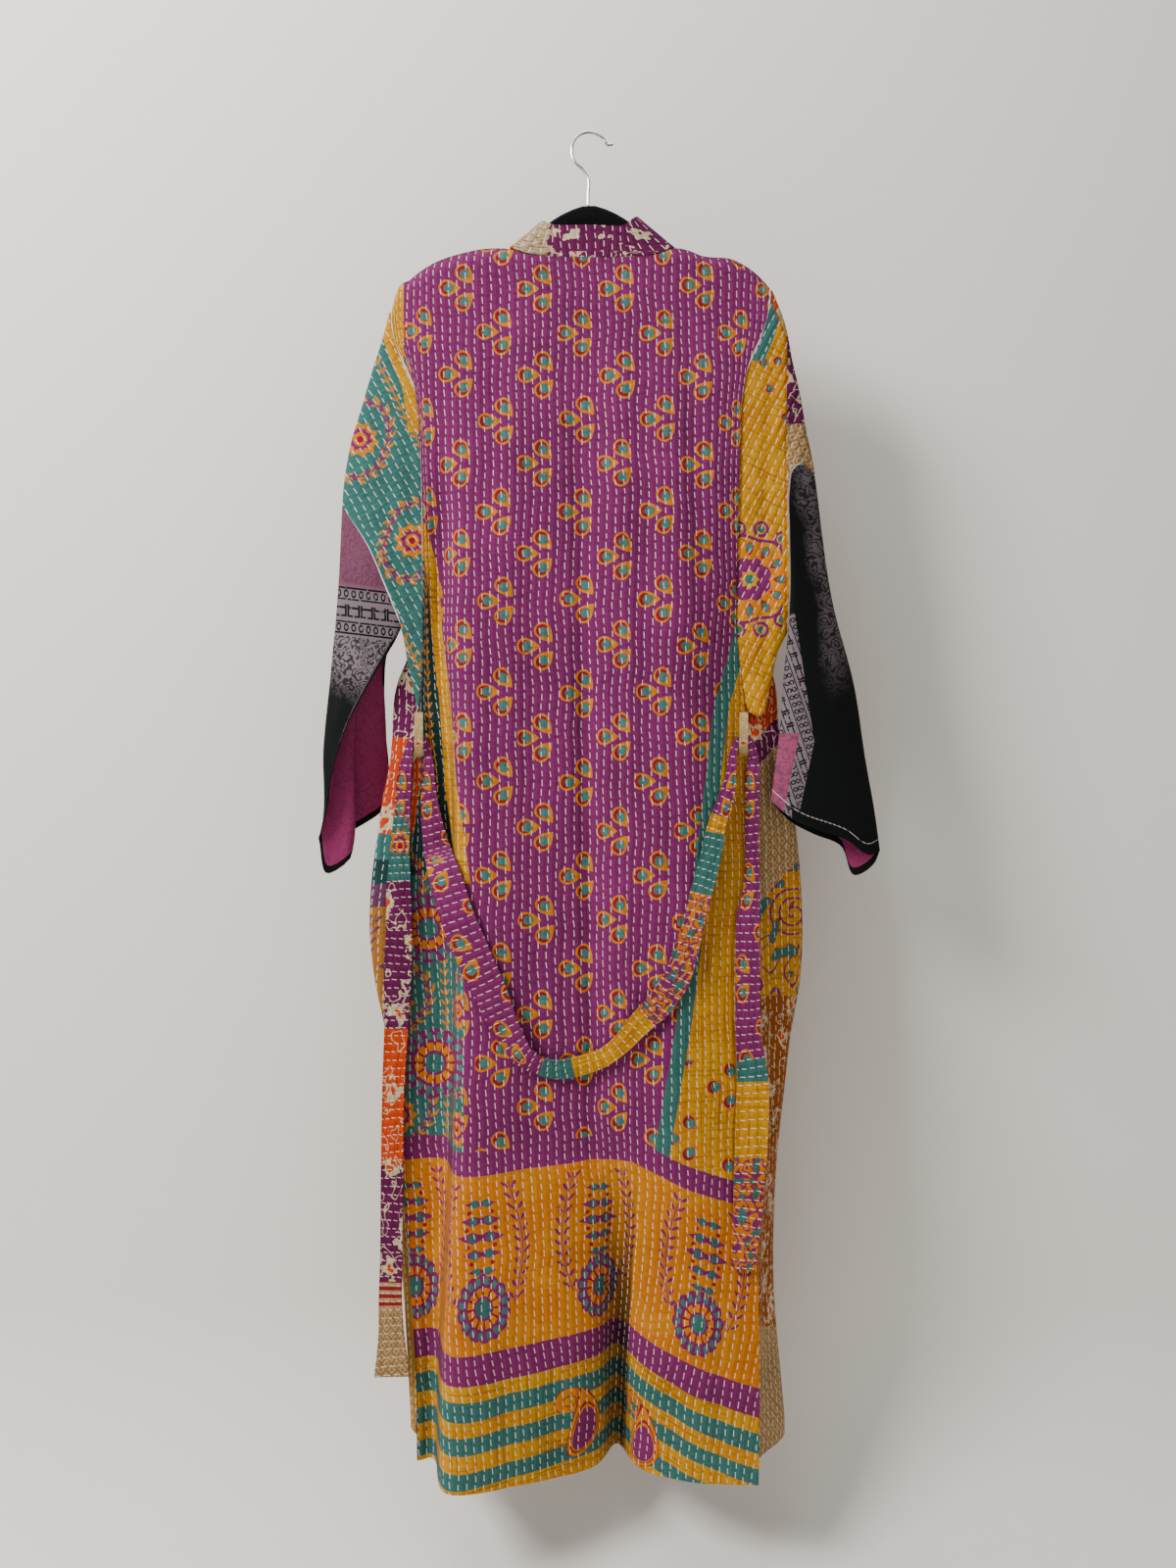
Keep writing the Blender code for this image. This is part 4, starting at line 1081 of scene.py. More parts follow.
fronts = {
    "rows": 120,
    # z, rollX, rollY, backX, backY, edgeX, edgeY
    "left": (
        (-204, -200, 7, -155, 10, -92, 12),
        (-389, -178, 13, -140, 15, -88, 16),
        (-526, -184, 14, -150, 18, -84, 19),
        (-594, -205, 13, -190, 19, -82, 20),
        (-640, -224, 14, -206, 22, -80, 22),
        (-708, -231, 13, -214, 24, -78, 25),
        (-754, -239, 13, -222, 27, -77, 28),
        (-811, -246, 14, -227, 33, -75, 33),
        (-868, -253, 17, -235, 39, -74, 39),
        (-925, -255, 20, -238, 43, -73, 43),
        (-982, -249, 22, -231, 45, -71, 45),
        (-1039, -237, 24, -219, 46, -70, 46),
        (-1096, -229, 26, -211, 46, -69, 46),
        (-1210, -225, 27, -206, 46, -66, 46),
        (-1324, -217, 28, -198, 46, -63, 46),
        (-1491, -207, 28, -188, 46, -60, 46),
    ),
    "right": (
        (-204, 185, 7, 150, 10, 95, 12),
        (-389, 160, 13, 130, 15, 90, 16),
        (-526, 162, 14, 135, 18, 86, 19),
        (-594, 196, 8, 180, 18, 84, 20),
        (-628, 212, 11, 195, 22, 83, 22),
        (-691, 219, 16, 203, 28, 80, 26),
        (-754, 231, 20, 215, 36, 78, 32),
        (-811, 239, 23, 222, 42, 76, 38),
        (-868, 244, 24, 226, 45, 74, 42),
        (-925, 246, 25, 228, 46, 73, 44),
        (-982, 243, 26, 225, 46, 71, 45),
        (-1039, 233, 25, 214, 46, 70, 46),
        (-1096, 226, 24, 207, 46, 69, 46),
        (-1210, 214, 22, 196, 46, 66, 46),
        (-1324, 212, 20, 194, 46, 63, 46),
        (-1491, 225, 20, 204, 46, 60, 46),
    ),
    "neckX": {"left": -95.0, "right": 101.0},
    "creases": {
        "left": (
            (-240, -700, -226, -1000, 7, 2.4), (-232, -640, -244, -860, 6, 1.8),
            (-214, -1000, -200, -1480, 7, 2.6),
        ),
        "right": (
            (200, -620, 232, -900, 7, 2.6), (226, -930, 240, -940, 6, 3.0),
            (214, -960, 206, -1200, 7, 2.8), (200, -1200, 206, -1480, 7, 2.6),
        ),
    },
}


stations = np.arange(len(back["stations"]), dtype=float)


def smoothSection(level):
    order = -np.asarray(back["levels"], dtype=float)
    x = np.array([back["x"][s] for s in back["stations"]], dtype=float).T
    y = np.array([back["y"][s] for s in back["stations"]], dtype=float).T
    return curve(order, x, -level), curve(order, y, -level)


def backAt(level, place):
    x, y = smoothSection(level)
    return curve(stations, x.T, [place])[0], curve(stations, y.T, [place])[0]


def backDepth(x, level):
    sectionX, sectionY = smoothSection(np.array([level], dtype=float))
    places = np.linspace(0.0, len(stations) - 1.0, 161)
    acrossX = curve(stations, sectionX[0], places)
    acrossY = curve(stations, sectionY[0], places)
    return np.interp(x, np.maximum.accumulate(acrossX), acrossY)


def belowUnderarm(level):
    return smooth((look["underarm"] + 2.0 - level) / 32.0)


def sideSeam(level, right):
    x, y = (values[:, -1 if right else 0] for values in smoothSection(level))
    below = belowUnderarm(level)
    behind = np.maximum(-y, 9.5 * smooth((-215.0 - level) / 60.0))
    return x + look["seamGap"] * (2.0 if right else -2.0) * below, y * below + behind * (1.0 - below)


def frontAt(side, level, part):
    table = np.array(fronts[side], dtype=float)
    read = curve(-table[:, 0], table[:, 1:], -level)
    seamX, seamY = sideSeam(level, side == "right")
    lines = np.stack([np.stack([seamX, seamY], axis=1), read[:, 0:2], read[:, 2:4], read[:, 4:6]], axis=1)
    points = np.array([along(line, [part])[0] for line in lines])
    return points[:, 0], points[:, 1]


def shoulderLine(x):
    table = np.array(shoulder, dtype=float)
    z = curve(table[:, 0], table[:, 1], x)
    y = curve(table[:, 0], table[:, 2], x)
    return z, np.minimum(y, 0.0)


def drape(top, hemZ, panelAt, places, rows):
    # From the top edge the cloth rounds over as a quarter sine and then follows its sections.
    low = np.array([hemZ])
    hem = hemSeen(hemZ, np.array([panelAt(low, p)[1][0] for p in places]))
    close = np.array([0.0, 2.0, 4.5, 7.5, 11.0, 15.0, 21.0, 28.0, 37.0, 48.0])
    steps = np.concatenate([close, np.linspace(58.0, 1380.0, rows)]) / 1380.0
    level = top[:, 2] + (hem - top[:, 2]) * steps[:, None]
    grid = np.empty(level.shape + (3,))
    for c, place in enumerate(places):
        x, y = panelAt(level[:, c], place)
        drop = top[c, 2] - level[:, c]
        over = np.sin(np.minimum(drop / look["shoulderRound"], 1.0) * math.pi / 2.0)
        lower = smooth(drop / look["shoulderBlend"])
        grid[:, c, 0] = top[c, 0] * (1.0 - lower) + x * lower
        grid[:, c, 1] = top[c, 1] * (1.0 - over) + y * over
        grid[:, c, 2] = level[:, c]
    return grid


def beyond(column, inside, neighbourAt, place):
    level = column[:, 2]
    x, y = neighbourAt(level, place)
    other = np.stack([x, y, level], axis=1)
    below = belowUnderarm(level)[:, None]
    return (2.0 * column - inside) * (1.0 - below) + other * below


def panelNormals(grid, first, last, upright):
    # Side columns read their slope past the seam, and the top edge turns upright where it meets
    # the other panel.
    down = np.gradient(grid, axis=0)
    across = np.gradient(grid, axis=1)
    across[:, 0] = grid[:, 1] - first
    if last is not None:
        across[:, -1] = last - grid[:, -2]
    normal = np.cross(down, across)
    normal /= np.linalg.norm(normal, axis=2, keepdims=True)
    sign = np.sign(normal[1, :, 2:3] + 1e-9)
    mixed = normal[0] * (1.0 - upright[:, None]) + sign * np.array([0.0, 0.0, 1.0]) * upright[:, None]
    normal[0] = mixed / np.linalg.norm(mixed, axis=1, keepdims=True)
    return normal


cells = back["cells"]
backPlaces = np.array([k + i / n for k, n in enumerate(cells) for i in range(n)] + [len(cells)])
frontParts = np.linspace(0.0, 1.0, 61)


def makeBack():
    topX = curve(stations, back["topX"], backPlaces)
    topZ, topY = shoulderLine(topX)
    top = np.stack([topX, topY - look["seamGap"], topZ], axis=1)
    grid = drape(top, look["backHem"], backAt, backPlaces, back["rows"])
    first = beyond(grid[:, 0], grid[:, 1], lambda z, p: frontAt("left", z, p), frontParts[1])
    last = beyond(grid[:, -1], grid[:, -2], lambda z, p: frontAt("right", z, p), frontParts[1])
    placed = seat(grid)
    normal = panelNormals(placed, seat(first), seat(last), 1.0 - smooth(-topY / 6.0))
    placed = soften(placed, back["creases"])
    middle = int(np.argmin(np.abs(backPlaces - 4.0)))
    x, z = grid[..., 0], grid[..., 2]
    left, right = (x - np.interp(-z, -lineZ, lineX) for lineX, lineZ in (
        np.array(back[line], dtype=float).T for line in ("leftLine", "rightLine")))
    right = np.where(z > back["rightLine"][0][1], -200.0, right)
    slopeX, slopeDrop = np.array(back["borderDrop"], dtype=float).T
    height = placed[..., 2] - look["backHem"] + np.interp(x, slopeX, slopeDrop)
    # openness is 1 on open cloth and 0 on the walls of folds, where the back's colour gets painted shade.
    openness = smooth((-normal[..., 1] - 0.22) / 0.30)
    maps = {
        "edges": np.stack([left, right], axis=2) * 0.001,
        "hem": np.stack([height * 0.001, openness], axis=2),
    }
    u = runAcross(placed, middle) - 0.002
    addSheet("backPanel", grid, placed, u, placed[..., 2] * 0.001, look["quilt"],
             (finish["back"], finish["backInside"]), maps, normal)


def makeFront(side):
    right = side == "right"
    cornerX = back["topX"][-1 if right else 0]
    topX = cornerX + (fronts["neckX"][side] - cornerX) * frontParts
    topZ, _ = shoulderLine(topX)
    top = np.stack([topX, np.full_like(topX, look["seamGap"]), topZ], axis=1)
    grid = drape(top, look["frontHem"], lambda z, p: frontAt(side, z, p), frontParts, fronts["rows"])
    first = beyond(grid[:, 0], grid[:, 1], backAt, backPlaces[-2 if right else 1])
    placed = seat(grid)
    normal = panelNormals(placed, seat(first), None, np.ones(len(topX)))
    # Columns run from the side seam inwards, so the left front's normals point into the coat.
    way = 1 if right else -1
    placed = soften(placed, fronts["creases"][side], way)
    name = "front" + side.capitalize()
    addSheet(name, grid, placed, runAcross(placed, 0), placed[..., 2] * 0.001,
             look["quilt"], (finish[name], finish["frontInside"])[::way], normal=normal)


# Sleeves.

sleeves = {
    "left": {
        "foldUpper": ((-233, -206, 0), (-240, -236, 0), (-253, -277, 1), (-264, -315, 2),
                       (-276, -355, 3), (-285, -406, 4), (-287, -432, 4)),
        "underarm": ((-197, -668, 0), (-204, -645, -1), (-210, -618, -3), (-217, -571, -4)),
        "elbow": ((-287, -432, 4), (-259, -474, -1), (-236, -526, -3), (-217, -571, -4)),
        "foldLower": ((-287, -432, 4), (-292, -526, 4), (-301, -628, 3), (-309, -708, 2),
                       (-313, -811, 1), (-315, -818, 1)),
        "inner": ((-217, -571, -4), (-227, -588, -6)),
        "mouthNear": ((-315, -818, 1), (-307, -785, -1), (-303, -754, -2), (-285, -691, -4),
                       (-264, -651, -5), (-238, -606, -6), (-227, -588, -6)),
        "mouthFar": ((-315, -818, 1), (-306, -858, 3), (-276, -834, 8), (-286, -817, 16),
                      (-262, -800, 26), (-240, -784, 34), (-238, -720, 34), (-241, -650, 24),
                      (-238, -608, 8), (-227, -588, -6)),
        "gap": ((0.0, -0.5, -0.3), (1.0, -2.2, -0.6)),
    },
    "right": {
        "foldUpper": ((214, -185, 0), (226, -218, 0), (235, -263, 1), (243, -298, 1),
                       (251, -343, 2), (257, -372, 2), (261, -394, 2)),
        "underarm": ((186, -668, -1), (197, -674, -3), (209, -640, -4), (218, -600, -5), (229, -577, -5)),
        "elbow": ((261, -394, 2), (253, -386, -1), (244, -380, -4), (236, -386, -6), (231, -408, -7),
                  (231, -460, -8), (232, -520, -8), (229, -577, -5)),
        "foldLower": ((261, -394, 2), (283, -548, 0), (307, -640, -2), (320, -725, -4),
                       (331, -788, -5), (337, -831, -5)),
        "inner": ((229, -577, -5), (226, -628, -7), (222, -685, -9), (215, -742, -10), (211, -774, -10)),
        "mouthNear": ((337, -831, -5), (328, -836, -8), (300, -820, -12), (238, -796, -14), (211, -774, -10)),
        "mouthFar": ((337, -831, -5), (331, -846, -2), (308, -860, 2), (292, -826, 3),
                      (260, -812, 2), (234, -798, -1), (211, -774, -10)),
        "gap": ((0.0, 0.2, -2.2), (0.25, 1.8, -2.0), (1.0, 2.2, -1.4)),
    },
    "depth": {"armhole": 9.0, "elbow": 8.0, "mouth": 7.0},
    "steps": 96,
    "slip": 0.035,
    "armholeGap": 0.4,
    "armholeEnds": 1.8,
    "shoulderWrap": 0.03,
    # Direction of the quilting rows, in degrees from upright, and soft troughs.
    "tilt": {"left": -27.0, "right": 27.0},
    "creases": {
        "left": (
            (-250, -300, -216, -560, 9, 2.2), (-270, -390, -228, -470, 8, 2.0),
            (-208, -320, -204, -560, 7, 1.4),
        ),
        "right": (
            (214, -240, 196, -560, 8, 2.2), (244, -300, 214, -420, 8, 2.0),
            (222, -420, 196, -640, 8, 2.2),
        ),
    },
}


def coons(top, bottom, left, right, u, w, topPlaces=None):
    # Patch between four edges: ruled down, ruled across, less the corners' bilinear part.
    t = along(top, w) if topPlaces is None else curve(topPlaces, top, w)
    b = along(bottom, w)
    l = along(left, u)
    r = along(right, u)
    uu = u[:, None, None]
    ww = w[None, :, None]
    ruledU = t[None] * (1 - uu) + b[None] * uu
    ruledW = l[:, None] * (1 - ww) + r[:, None] * ww
    corners = ((t[0] * (1 - ww) + t[-1] * ww) * (1 - uu) + (b[0] * (1 - ww) + b[-1] * ww) * uu)
    return ruledU + ruledW - corners


def sleeveRings(top, nearEnd, farEnd, fold, inner, u, angle, depthTop, depthEnd, topPlaces=None):
    # A flattened sleeve: w = (1 - cos angle) / 2 runs from the outer fold to the underarm on each
    # side, and the depth bulges as its sine.
    nearSide = angle <= math.pi + 1e-9
    w = (1.0 - np.cos(angle)) / 2.0
    order = np.argsort(w)
    backOrder = np.argsort(order)
    near = coons(top, nearEnd, fold, inner, u, w[order], topPlaces)[:, backOrder]
    far = coons(top, farEnd, fold, inner, u, w[order], topPlaces)[:, backOrder]
    rings = np.where(nearSide[None, :, None], near, far)
    depth = depthTop + (depthEnd - depthTop) * u
    rings[..., 1] -= depth[:, None] * np.sin(angle)[None, :]
    return rings


def armhole(right):
    end = -1 if right else 0
    corner = back["topX"][end]
    top = float(shoulderLine([corner])[0][0]) - 2.0
    wrap = sleeves["shoulderWrap"]
    part = np.concatenate([[0.0, wrap], np.linspace(wrap, 1.0, 13)[1:]])
    level = top + (look["underarm"] - top) * part
    x, _ = smoothSection(level)
    lower = smooth((top - level) / look["shoulderBlend"])
    x = corner * (1.0 - lower) + x[:, end] * lower
    gap = sleeves["armholeGap"] + sleeves["armholeEnds"] * (2.0 * part - 1.0) ** 8
    x = x + gap if right else x - gap
    return np.stack([x, np.zeros_like(x), level], axis=1), part


def sleevePiece(name, ringsAt, angle, thick, materials, side, hole, creases, ring=False):
    # Normals come from a small turn of the ring to each side. Cloth coordinates lie flat in the
    # outline, turned so that the quilting rows run along the sleeve.
    full, small = 2.0 * math.pi, 0.02
    grid = ringsAt(np.mod(angle, full))
    across = seat(ringsAt(np.mod(angle + small, full))) - seat(ringsAt(np.mod(angle - small, full)))
    placed = seat(grid)
    normal = gridNormals(placed, across)
    way = 1 if side == "left" else -1
    if not ring:
        pushed = soften(placed, creases, way)
        placed = np.where(np.abs(np.sin(angle))[None, :, None] > 0.2, pushed, placed)
    closed = np.concatenate([grid, grid[:, :1]], axis=1) if ring else grid
    x, z = closed[..., 0], closed[..., 2]
    tilt = math.radians(sleeves["tilt"][side])
    u = (x * math.cos(tilt) - z * math.sin(tilt)) * 0.001
    v = (x * math.sin(tilt) + z * math.cos(tilt)) * 0.001
    away = np.abs(x - np.interp(-z, -hole[:, 2], hole[:, 0])) if hole is not None else np.zeros_like(z)
    step = np.linalg.norm(np.diff(closed, axis=0), axis=2)[::-1]
    mouth = np.concatenate([np.zeros((1, closed.shape[1])), np.cumsum(step, axis=0)])[::-1]
    maps = {"edges": np.stack([away, mouth], axis=2) * 0.001}
    addSheet(name, closed, placed, u, v, thick, materials[::way], maps, normal, ring)


def makeSleeve(side):
    table = sleeves[side]
    right = side == "right"
    word = side.capitalize()
    hole, holePlaces = armhole(right)
    fold, elbow, inner = (xyz(table[part]) for part in ("foldUpper", "elbow", "underarm"))
    fold[0] = hole[0]
    inner[0] = hole[-1]
    u = np.linspace(0.0, 1.0, 46)
    half = sleeves["steps"] // 2
    depth = sleeves["depth"]

    def ringsAt(angle):
        return sleeveRings(hole, elbow, elbow, fold, inner, u, angle, depth["armhole"],
                           depth["elbow"], holePlaces)

    cloth = "sleeve" + word
    plan = (
        ("sleeveBack", 0, cloth, "quilt_yellow" if right else "quilt_teal"),
        ("sleeveFront", half, "frontRight" if right else cloth, "quilt_flowered" if right else "quilt_teal"),
    )
    for name, start, kind, slot in plan:
        angle = np.arange(start, start + half + 1) * (math.pi / half)
        angle[[0, -1]] += (sleeves["slip"], -sleeves["slip"])
        sleevePiece(name + word, ringsAt, angle, look["quilt"],
                    (finish[kind], finish["sleeveInside"]), side, hole, sleeves["creases"][side])


def makeLowerSleeve(side):
    table = sleeves[side]
    word = side.capitalize()
    top, fold, inner, near, far = (
        xyz(table[part]) for part in ("elbow", "foldLower", "inner", "mouthNear", "mouthFar"))
    part = lengths(top)
    knots, across, down = np.array(table["gap"]).T
    top[:, 0] += np.interp(part, knots, across)
    top[:, 2] += np.interp(part, knots, down)
    fold[0] = top[0]
    inner[0] = top[-1]
    u = np.linspace(0.0, 1.0, 56)
    depth = sleeves["depth"]

    def ringsAt(angle):
        return sleeveRings(top, near, far, fold, inner, u, angle, depth["elbow"], depth["mouth"])

    angle = np.arange(sleeves["steps"]) * 2.0 * math.pi / sleeves["steps"]
    sleevePiece("sleeveLower" + word, ringsAt, angle, look["sari"],
                (finish["sari" + word], finish["sariInside"]), side,
                fold if side == "right" else None, (), ring=True)


# Collar and belt.

collar = {
    "rows": (
        (-88, -300, 14.5, -50, -300, 16), (-90, -190, 13.5, -50, -186, 15), (-91.5, -150, 10, -52, -118, 13),
        (-92.5, -132, 4, -55, -103, 6), (-92, -130.5, -4, -56, -100, -3), (-75, -136.4, -9.4, -50, -101, -9),
        (-40, -140.2, -12.5, -40, -104, -12), (0, -141.2, -12.5, 0, -104, -12.5),
        (42, -140.2, -12.5, 40, -104, -12), (80, -136.8, -9.6, 51, -96, -9),
        (97, -130.5, -4, 55, -95, -3), (98.5, -132, 4, 56, -97, 6), (97, -150, 10, 54, -112, 13),
        (93, -190, 13.5, 52, -182, 15), (91, -300, 14.5, 52, -300, 16),
    ),
    "width": 40.0,
}
belt = {
    # x, z, off, width, turn
    "drape": (
        (-198.7, -700, 3.8, 6, 0), (-195, -700.5, 3.8, 6, 0), (-191, -705, 3.8, 7, 0),
        (-188.5, -718, 4, 9, 0), (-186.5, -775, 5, 20, 0),
        (-178, -828, 8, 31, 0), (-167, -866, 5, 38, 0), (-155, -906, 5, 40, 0),
        (-139, -945, 5, 41, 0), (-128, -971, 5, 41, 0), (-115, -998, 5, 39, 0),
        (-104, -1024, 5, 35, 0), (-91, -1050, 6, 30, 6), (-79, -1068, 7, 26, 10),
        (-56, -1083, 7, 21, 12), (-30, -1086, 7, 22, 8), (-8, -1081, 7, 22, 4), (15, -1073, 6, 21, 0),
        (33, -1060, 6, 22, 0), (58, -1033, 6, 27, 0), (82, -1009, 5, 31, 0), (100, -983, 5, 31, 0),
        (113, -945, 5, 28, 0), (124, -906, 5, 24, 0), (130, -880, 5, 25, 0),
        (137, -854, 5, 24, 0), (143, -828, 5, 23, 0), (148, -801, 5, 20, 0),
        (156, -780, 5, 20, 0), (164, -749, 5, 13, 0), (166.5, -722, 4, 9, 0),
        (168.3, -712, 4, 7, 0), (171, -704, 4, 6, 0), (175, -700.5, 4, 5, 0), (178.7, -700, 4, 5, 0),
    ),
    "endLeft": (
        (-199.3, -700, 3.8, 6, 0), (-203, -700.5, 3.8, 6, 0), (-207.5, -705, 4, 7, 0),
        (-211, -717, 5, 10, 0),
        (-215, -742, 7, 16, 0), (-217, -767, 7, 18, 0), (-219, -801, 7, 20, 0), (-221, -834, 7, 23, 0),
        (-222, -868, 8, 28, 0), (-222, -937, 8, 31, 0), (-223, -962, 8, 32, 0), (-225, -1039, 8, 28, 0),
        (-228, -1096, 8, 26, 0), (-230, -1210, 8, 26, 0), (-231, -1312, 8, 26, 0), (-232, -1358, 8, 27, 0),
        (-231, -1389, 8, 29, 0), (-230, -1443, 8, 41, 0),
    ),
    "endRight": (
        (179.3, -700, 4.4, 6, 0), (183, -700.5, 4.4, 6, 0), (187, -705, 4.6, 7, 0), (190, -717, 5, 10, 0),
        (189, -749, 6, 16, 0), (189, -801, 6, 16, 0), (189, -854, 6, 17, 0), (188, -880, 6, 20, 0),
        (185, -901, 6, 25, 0), (184, -959, 6, 28, 0), (184, -1010, 6, 28, 0), (186, -1062, 6, 31, 0),
        (189, -1089, 6, 35, 0), (189, -1141, 6, 38, 0), (188, -1175, 6, 37, 0), (186, -1210, 6, 36, 0),
        (184, -1246, 6, 34, 0), (181, -1280, 6, 32, 0), (179, -1318, 6, 29, 0),
    ),
    "reach": 9.0,
    "columns": 9,
    "loopWidth": 10.0,
    "loopThick": 1.2,
    "loopOff": 2.2,
    "loopLeft": {"x": -199.0, "top": -671.0, "bottom": -722.0, "rise": 12.0},
    "loopRight": {"x": 179.0, "top": -671.0, "bottom": -720.0, "rise": 18.0},
}


def bandRun(side):
    table = np.array(fronts[side], dtype=float)
    level = np.linspace(-400.0, hemSeen(look["frontHem"], 46.0), 12)
    edge = curve(-table[:, 0], table[:, 5:7], -level)
    inward = -1.0 if side == "right" else 1.0
    seam = np.stack([edge[:, 0] + inward * 1.2, edge[:, 1], level], axis=1)
    free = seam + np.array([inward * collar["width"], 1.5, 0.0])
    return np.concatenate([seam, free], axis=1)


def makeCollar():
    neck = np.array(collar["rows"], dtype=float)[:, [0, 2, 1, 3, 5, 4]]
    rows = np.concatenate([bandRun("left")[::-1], neck, bandRun("right")])
    place = lengths((rows[:, :3] + rows[:, 3:]) / 2.0)
    low, high = place[11], place[len(place) - 12]
    places = np.concatenate([
        np.linspace(0.0, low, 60)[:-1], np.linspace(low, high, 150)[:-1], np.linspace(high, 1.0, 60)])
    rows = curve(place, rows, places)
    part = np.linspace(0.0, 1.0, 10)[None, :, None]
    grid = rows[:, None, :3] * (1.0 - part) + rows[:, None, 3:] * part
    placed = seat(grid)
    down = np.broadcast_to(run(placed[:, 4])[:, None] * 0.001, placed.shape[:2])
    addSheet("collarBand", grid, placed, down, runAcross(placed, 0), look["quilt"],
             (finish["collar"],) * 2)


def settle(depth, line):
    # Depth under the belt: a mean of the nearest cloth within reach, along its line.
    place = run(line)
    near = np.abs(place[:, None] - place[None, :]) <= belt["reach"]
    lowest = np.where(near, depth[None, :], np.inf).min(axis=1)
    return (near * lowest[None, :]).sum(axis=1) / near.sum(axis=1)


def strip(table, places):
    # A flat band along a line, its width across the line, its depth off the back under it.
    table = np.array(table, dtype=float)
    line = table[:, :2]
    knots = lengths(line)
    middle = curve(knots, line, places)
    off, width, turn = curve(knots, table[:, 2:], places).T
    turn = np.radians(turn)
    under = np.array([
        min(backDepth(x + w * part, z) for part in (-0.5, 0.0, 0.5)) for (x, z), w in zip(middle, width)])
    centre = np.stack([middle[:, 0], settle(under, middle) - off, middle[:, 1]], axis=1)
    ahead = curve(knots, line, places + 0.002) - curve(knots, line, places - 0.002)
    ahead /= np.linalg.norm(ahead, axis=1, keepdims=True)
    side = np.stack([-ahead[:, 1], np.zeros(len(ahead)), ahead[:, 0]], axis=1)
    out = np.array([0.0, -1.0, 0.0])
    across = side * np.cos(turn)[:, None] + out * np.sin(turn)[:, None]
    part = np.linspace(-0.5, 0.5, belt["columns"])
    grid = centre[:, None] + across[:, None] * (width[:, None] * part[None])[:, :, None]
    crease = np.cos(part * 3.0 * math.pi)[None, :] * 0.5
    grid[..., 1] -= crease * np.minimum(width / 20.0, 1.0)[:, None]
    return grid


def beltStretch(kind, grid, fromEnd=False):
    placed = seat(grid)
    middle = belt["columns"] // 2
    down = run(placed[:, middle]) * 0.001
    if fromEnd:
        down = down[-1] - down
    across = runAcross(placed, middle)
    full = 0.020 / np.maximum(np.abs(across).max(axis=1), 0.002)
    across = across * np.minimum(full, 1.6)[:, None]
    v = np.broadcast_to(down[:, None], placed.shape[:2])
    addSheet("belt" + kind[0].upper() + kind[1:], grid, placed, across, v,
             look["belt"], (finish[kind],) * 2)


def makeBelt():
    cut = 0.0003
    places = np.concatenate([np.linspace(0.0, 0.03, 18)[:-1], np.linspace(0.03, 0.5 - cut, 90)])
    places = np.concatenate([places, 1.0 - places[::-1]])
    grid = strip(belt["drape"], places)
    split = len(places) // 2
    beltStretch("drapeLeft", grid[:split])
    beltStretch("drapeRight", grid[split:], True)
    places = np.concatenate([np.linspace(0.0, 0.05, 18)[:-1], np.linspace(0.05, 1.0, 110)])
    beltStretch("endLeft", strip(belt["endLeft"], places))
    beltStretch("endRight", strip(belt["endRight"], places))


def makeLoop(side):
    size = belt["loop" + side.capitalize()]
    part = np.linspace(0.0, 1.0, 41)
    z = size["top"] + (size["bottom"] - size["top"]) * part
    x = size["x"] + np.linspace(-0.5, 0.5, 7) * belt["loopWidth"]
    rise = size["rise"] * np.sin(part * math.pi) ** 0.6
    under = np.array([min(backDepth(across, level) for across in x) for level in z])
    y = under - belt["loopOff"] - rise
    grid = np.stack(np.broadcast_arrays(x[None], y[:, None], z[:, None]), axis=2)
    placed = seat(grid)
    addSheet("beltLoop" + side.capitalize(), grid, placed, runAcross(placed, 3),
             placed[..., 2] * 0.001, belt["loopThick"], (finish["loop"],) * 2)


makeBack()
print("back made")
for side in ("left", "right"):
    makeFront(side)
    makeSleeve(side)
    makeLowerSleeve(side)
    makeLoop(side)
print("fronts and sleeves made")
makeCollar()
makeBelt()
print("collar and belt made")


# Hanger: its solids stay, with flock and bright wire.

def grainOf(tree, scale):
    place = node(tree, "ShaderNodeTexCoord")
    made = node(tree, "ShaderNodeTexNoise")
    made.inputs["Scale"].default_value = scale
    connect(tree, place.outputs["Object"], made.inputs["Vector"])
    return Field(tree, made.outputs[0])


def finishHanger():
    flock, tree, shader = newMaterial("hangerFlock", {
        "Roughness": 0.95, "Specular IOR Level": 0.06, "Sheen Weight": 0.02})
    grain = grainOf(tree, 900.0)
    black = mix(grain, (0.0015, 0.0015, 0.002, 1.0), (0.006, 0.006, 0.007, 1.0))
    connect(tree, black, shader.inputs["Base Color"])
    addBump(tree, shader, grain, 1.0, 0.0004)
    wire, tree, shader = newMaterial("hookWire", {"Metallic": 1.0})
    grain = grainOf(tree, 260.0)
    bright = mix(grain, (0.42, 0.42, 0.43, 1.0), (0.66, 0.66, 0.67, 1.0))
    connect(tree, bright, shader.inputs["Base Color"])
    connect(tree, grain * 0.25 + 0.16, shader.inputs["Roughness"])
    for name, material in (("hanger_body", flock), ("hanger_hook", wire)):
        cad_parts[name].data.materials.clear()
        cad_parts[name].data.materials.append(material)


finishHanger()


# Floor, light and camera.

studio = {
    "floorDrop": 170.0,
    "wall": 0.16,
    "bend": 0.30,
    "world": 0.28,
    "key": (-2.1, -1.5, 1.0, 1.0, 128.0),      # x, y, z, size, watts
    "fill": (2.2, -2.4, -0.6, 2.6, 9.0),
    "top": (-0.4, -0.5, 1.5, 1.4, 26.0),
}


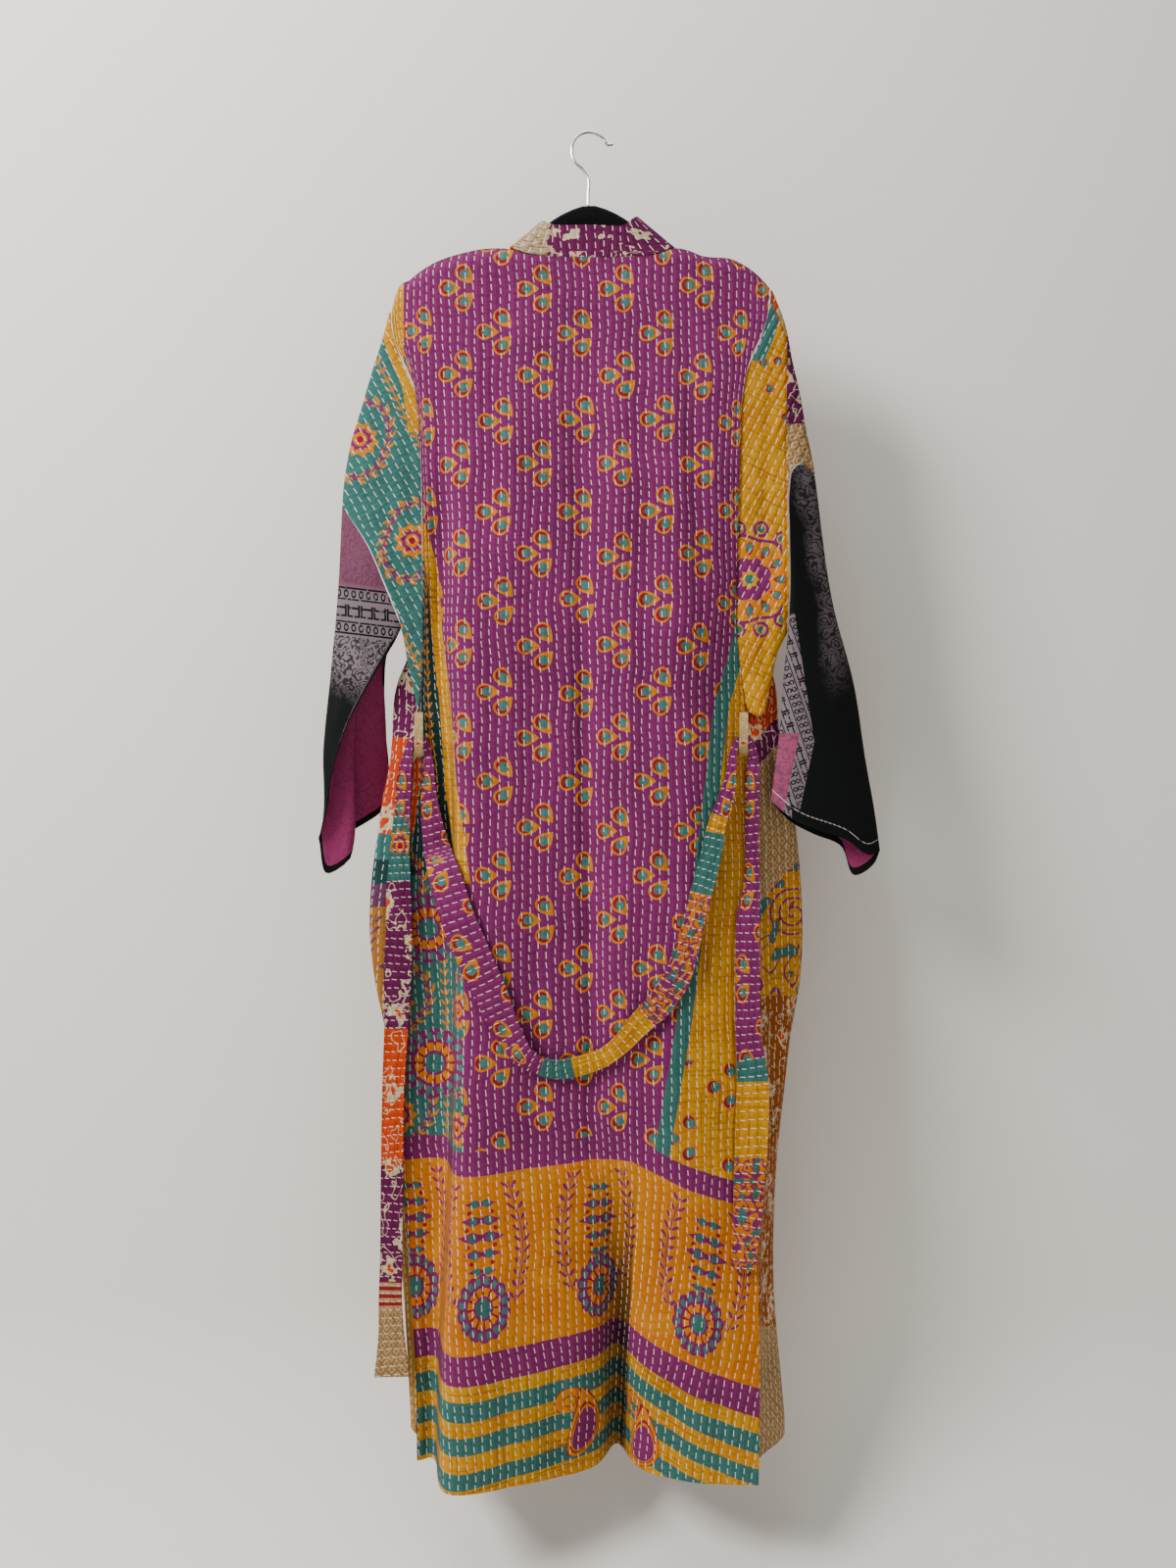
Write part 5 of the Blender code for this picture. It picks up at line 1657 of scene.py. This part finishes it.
def light(name, x, y, z, size, watts):
    lamp = bpy.data.lights.new(name, "AREA")
    lamp.energy = watts
    lamp.size = size
    made = bpy.data.objects.new(name, lamp)
    made.location = (x, y, z)
    aim = np.array([0.0, 0.0, -0.75]) - np.array([x, y, z])
    yaw = math.atan2(aim[1], aim[0]) - math.pi / 2.0
    pitch = math.atan2(aim[2], math.hypot(aim[0], aim[1]))
    made.rotation_euler = (math.pi / 2.0 + pitch, 0.0, yaw)
    bpy.context.scene.collection.objects.link(made)


def stage():
    paper, tree, shader = newMaterial("paper", {"Base Color": (0.82, 0.79, 0.735, 1.0), "Roughness": 0.95})
    # From behind the sheet is clear, so that the coat's far side can be looked at.
    behind = Field(tree, node(tree, "ShaderNodeNewGeometry").outputs["Backfacing"])
    connect(tree, 1.0 - behind, shader.inputs["Alpha"])
    # Floor and wall are one sheet of paper: level, a quarter circle, then upright.
    low = (look["backHem"] - studio["floorDrop"]) * 0.001
    wall, bend = studio["wall"], studio["bend"]
    turns = np.radians(np.linspace(0.0, 90.0, 24))
    profile = [(-4.0, low)]
    profile += [(wall - bend + bend * math.sin(t), low + bend - bend * math.cos(t)) for t in turns]
    profile += [(wall, 3.0)]
    points = [(x, y, z) for x in (-5.0, 5.0) for y, z in profile]
    count = len(profile)
    faces = [(k, k + count, k + count + 1, k + 1) for k in range(count - 1)]
    mesh = bpy.data.meshes.new("backdrop")
    mesh.from_pydata(points, [], faces)
    mesh.shade_smooth()
    mesh.materials.append(paper)
    backdrop = bpy.data.objects.new("backdrop", mesh)
    bpy.context.scene.collection.objects.link(backdrop)
    world = bpy.data.worlds.new("studio")
    bpy.context.scene.world = world
    world.use_nodes = True
    background = world.node_tree.nodes["Background"]
    background.inputs[0].default_value = (1.0, 0.985, 0.96, 1.0)
    background.inputs[1].default_value = studio["world"]
    for name in ("key", "fill", "top"):
        light(name, *studio[name])
    lens = bpy.data.cameras.new("camera")
    lens.lens = look["lens"]
    lens.sensor_width = 36.0
    eye = bpy.data.objects.new("camera", lens)
    eye.location = (look["viewX"] * 0.001, -look["viewDistance"] * 0.001, look["viewZ"] * 0.001)
    eye.rotation_euler = (math.pi / 2.0, 0.0, 0.0)
    bpy.context.scene.collection.objects.link(eye)
    bpy.context.scene.camera = eye


stage()
bpy.context.view_layer.update()
print("stage made")
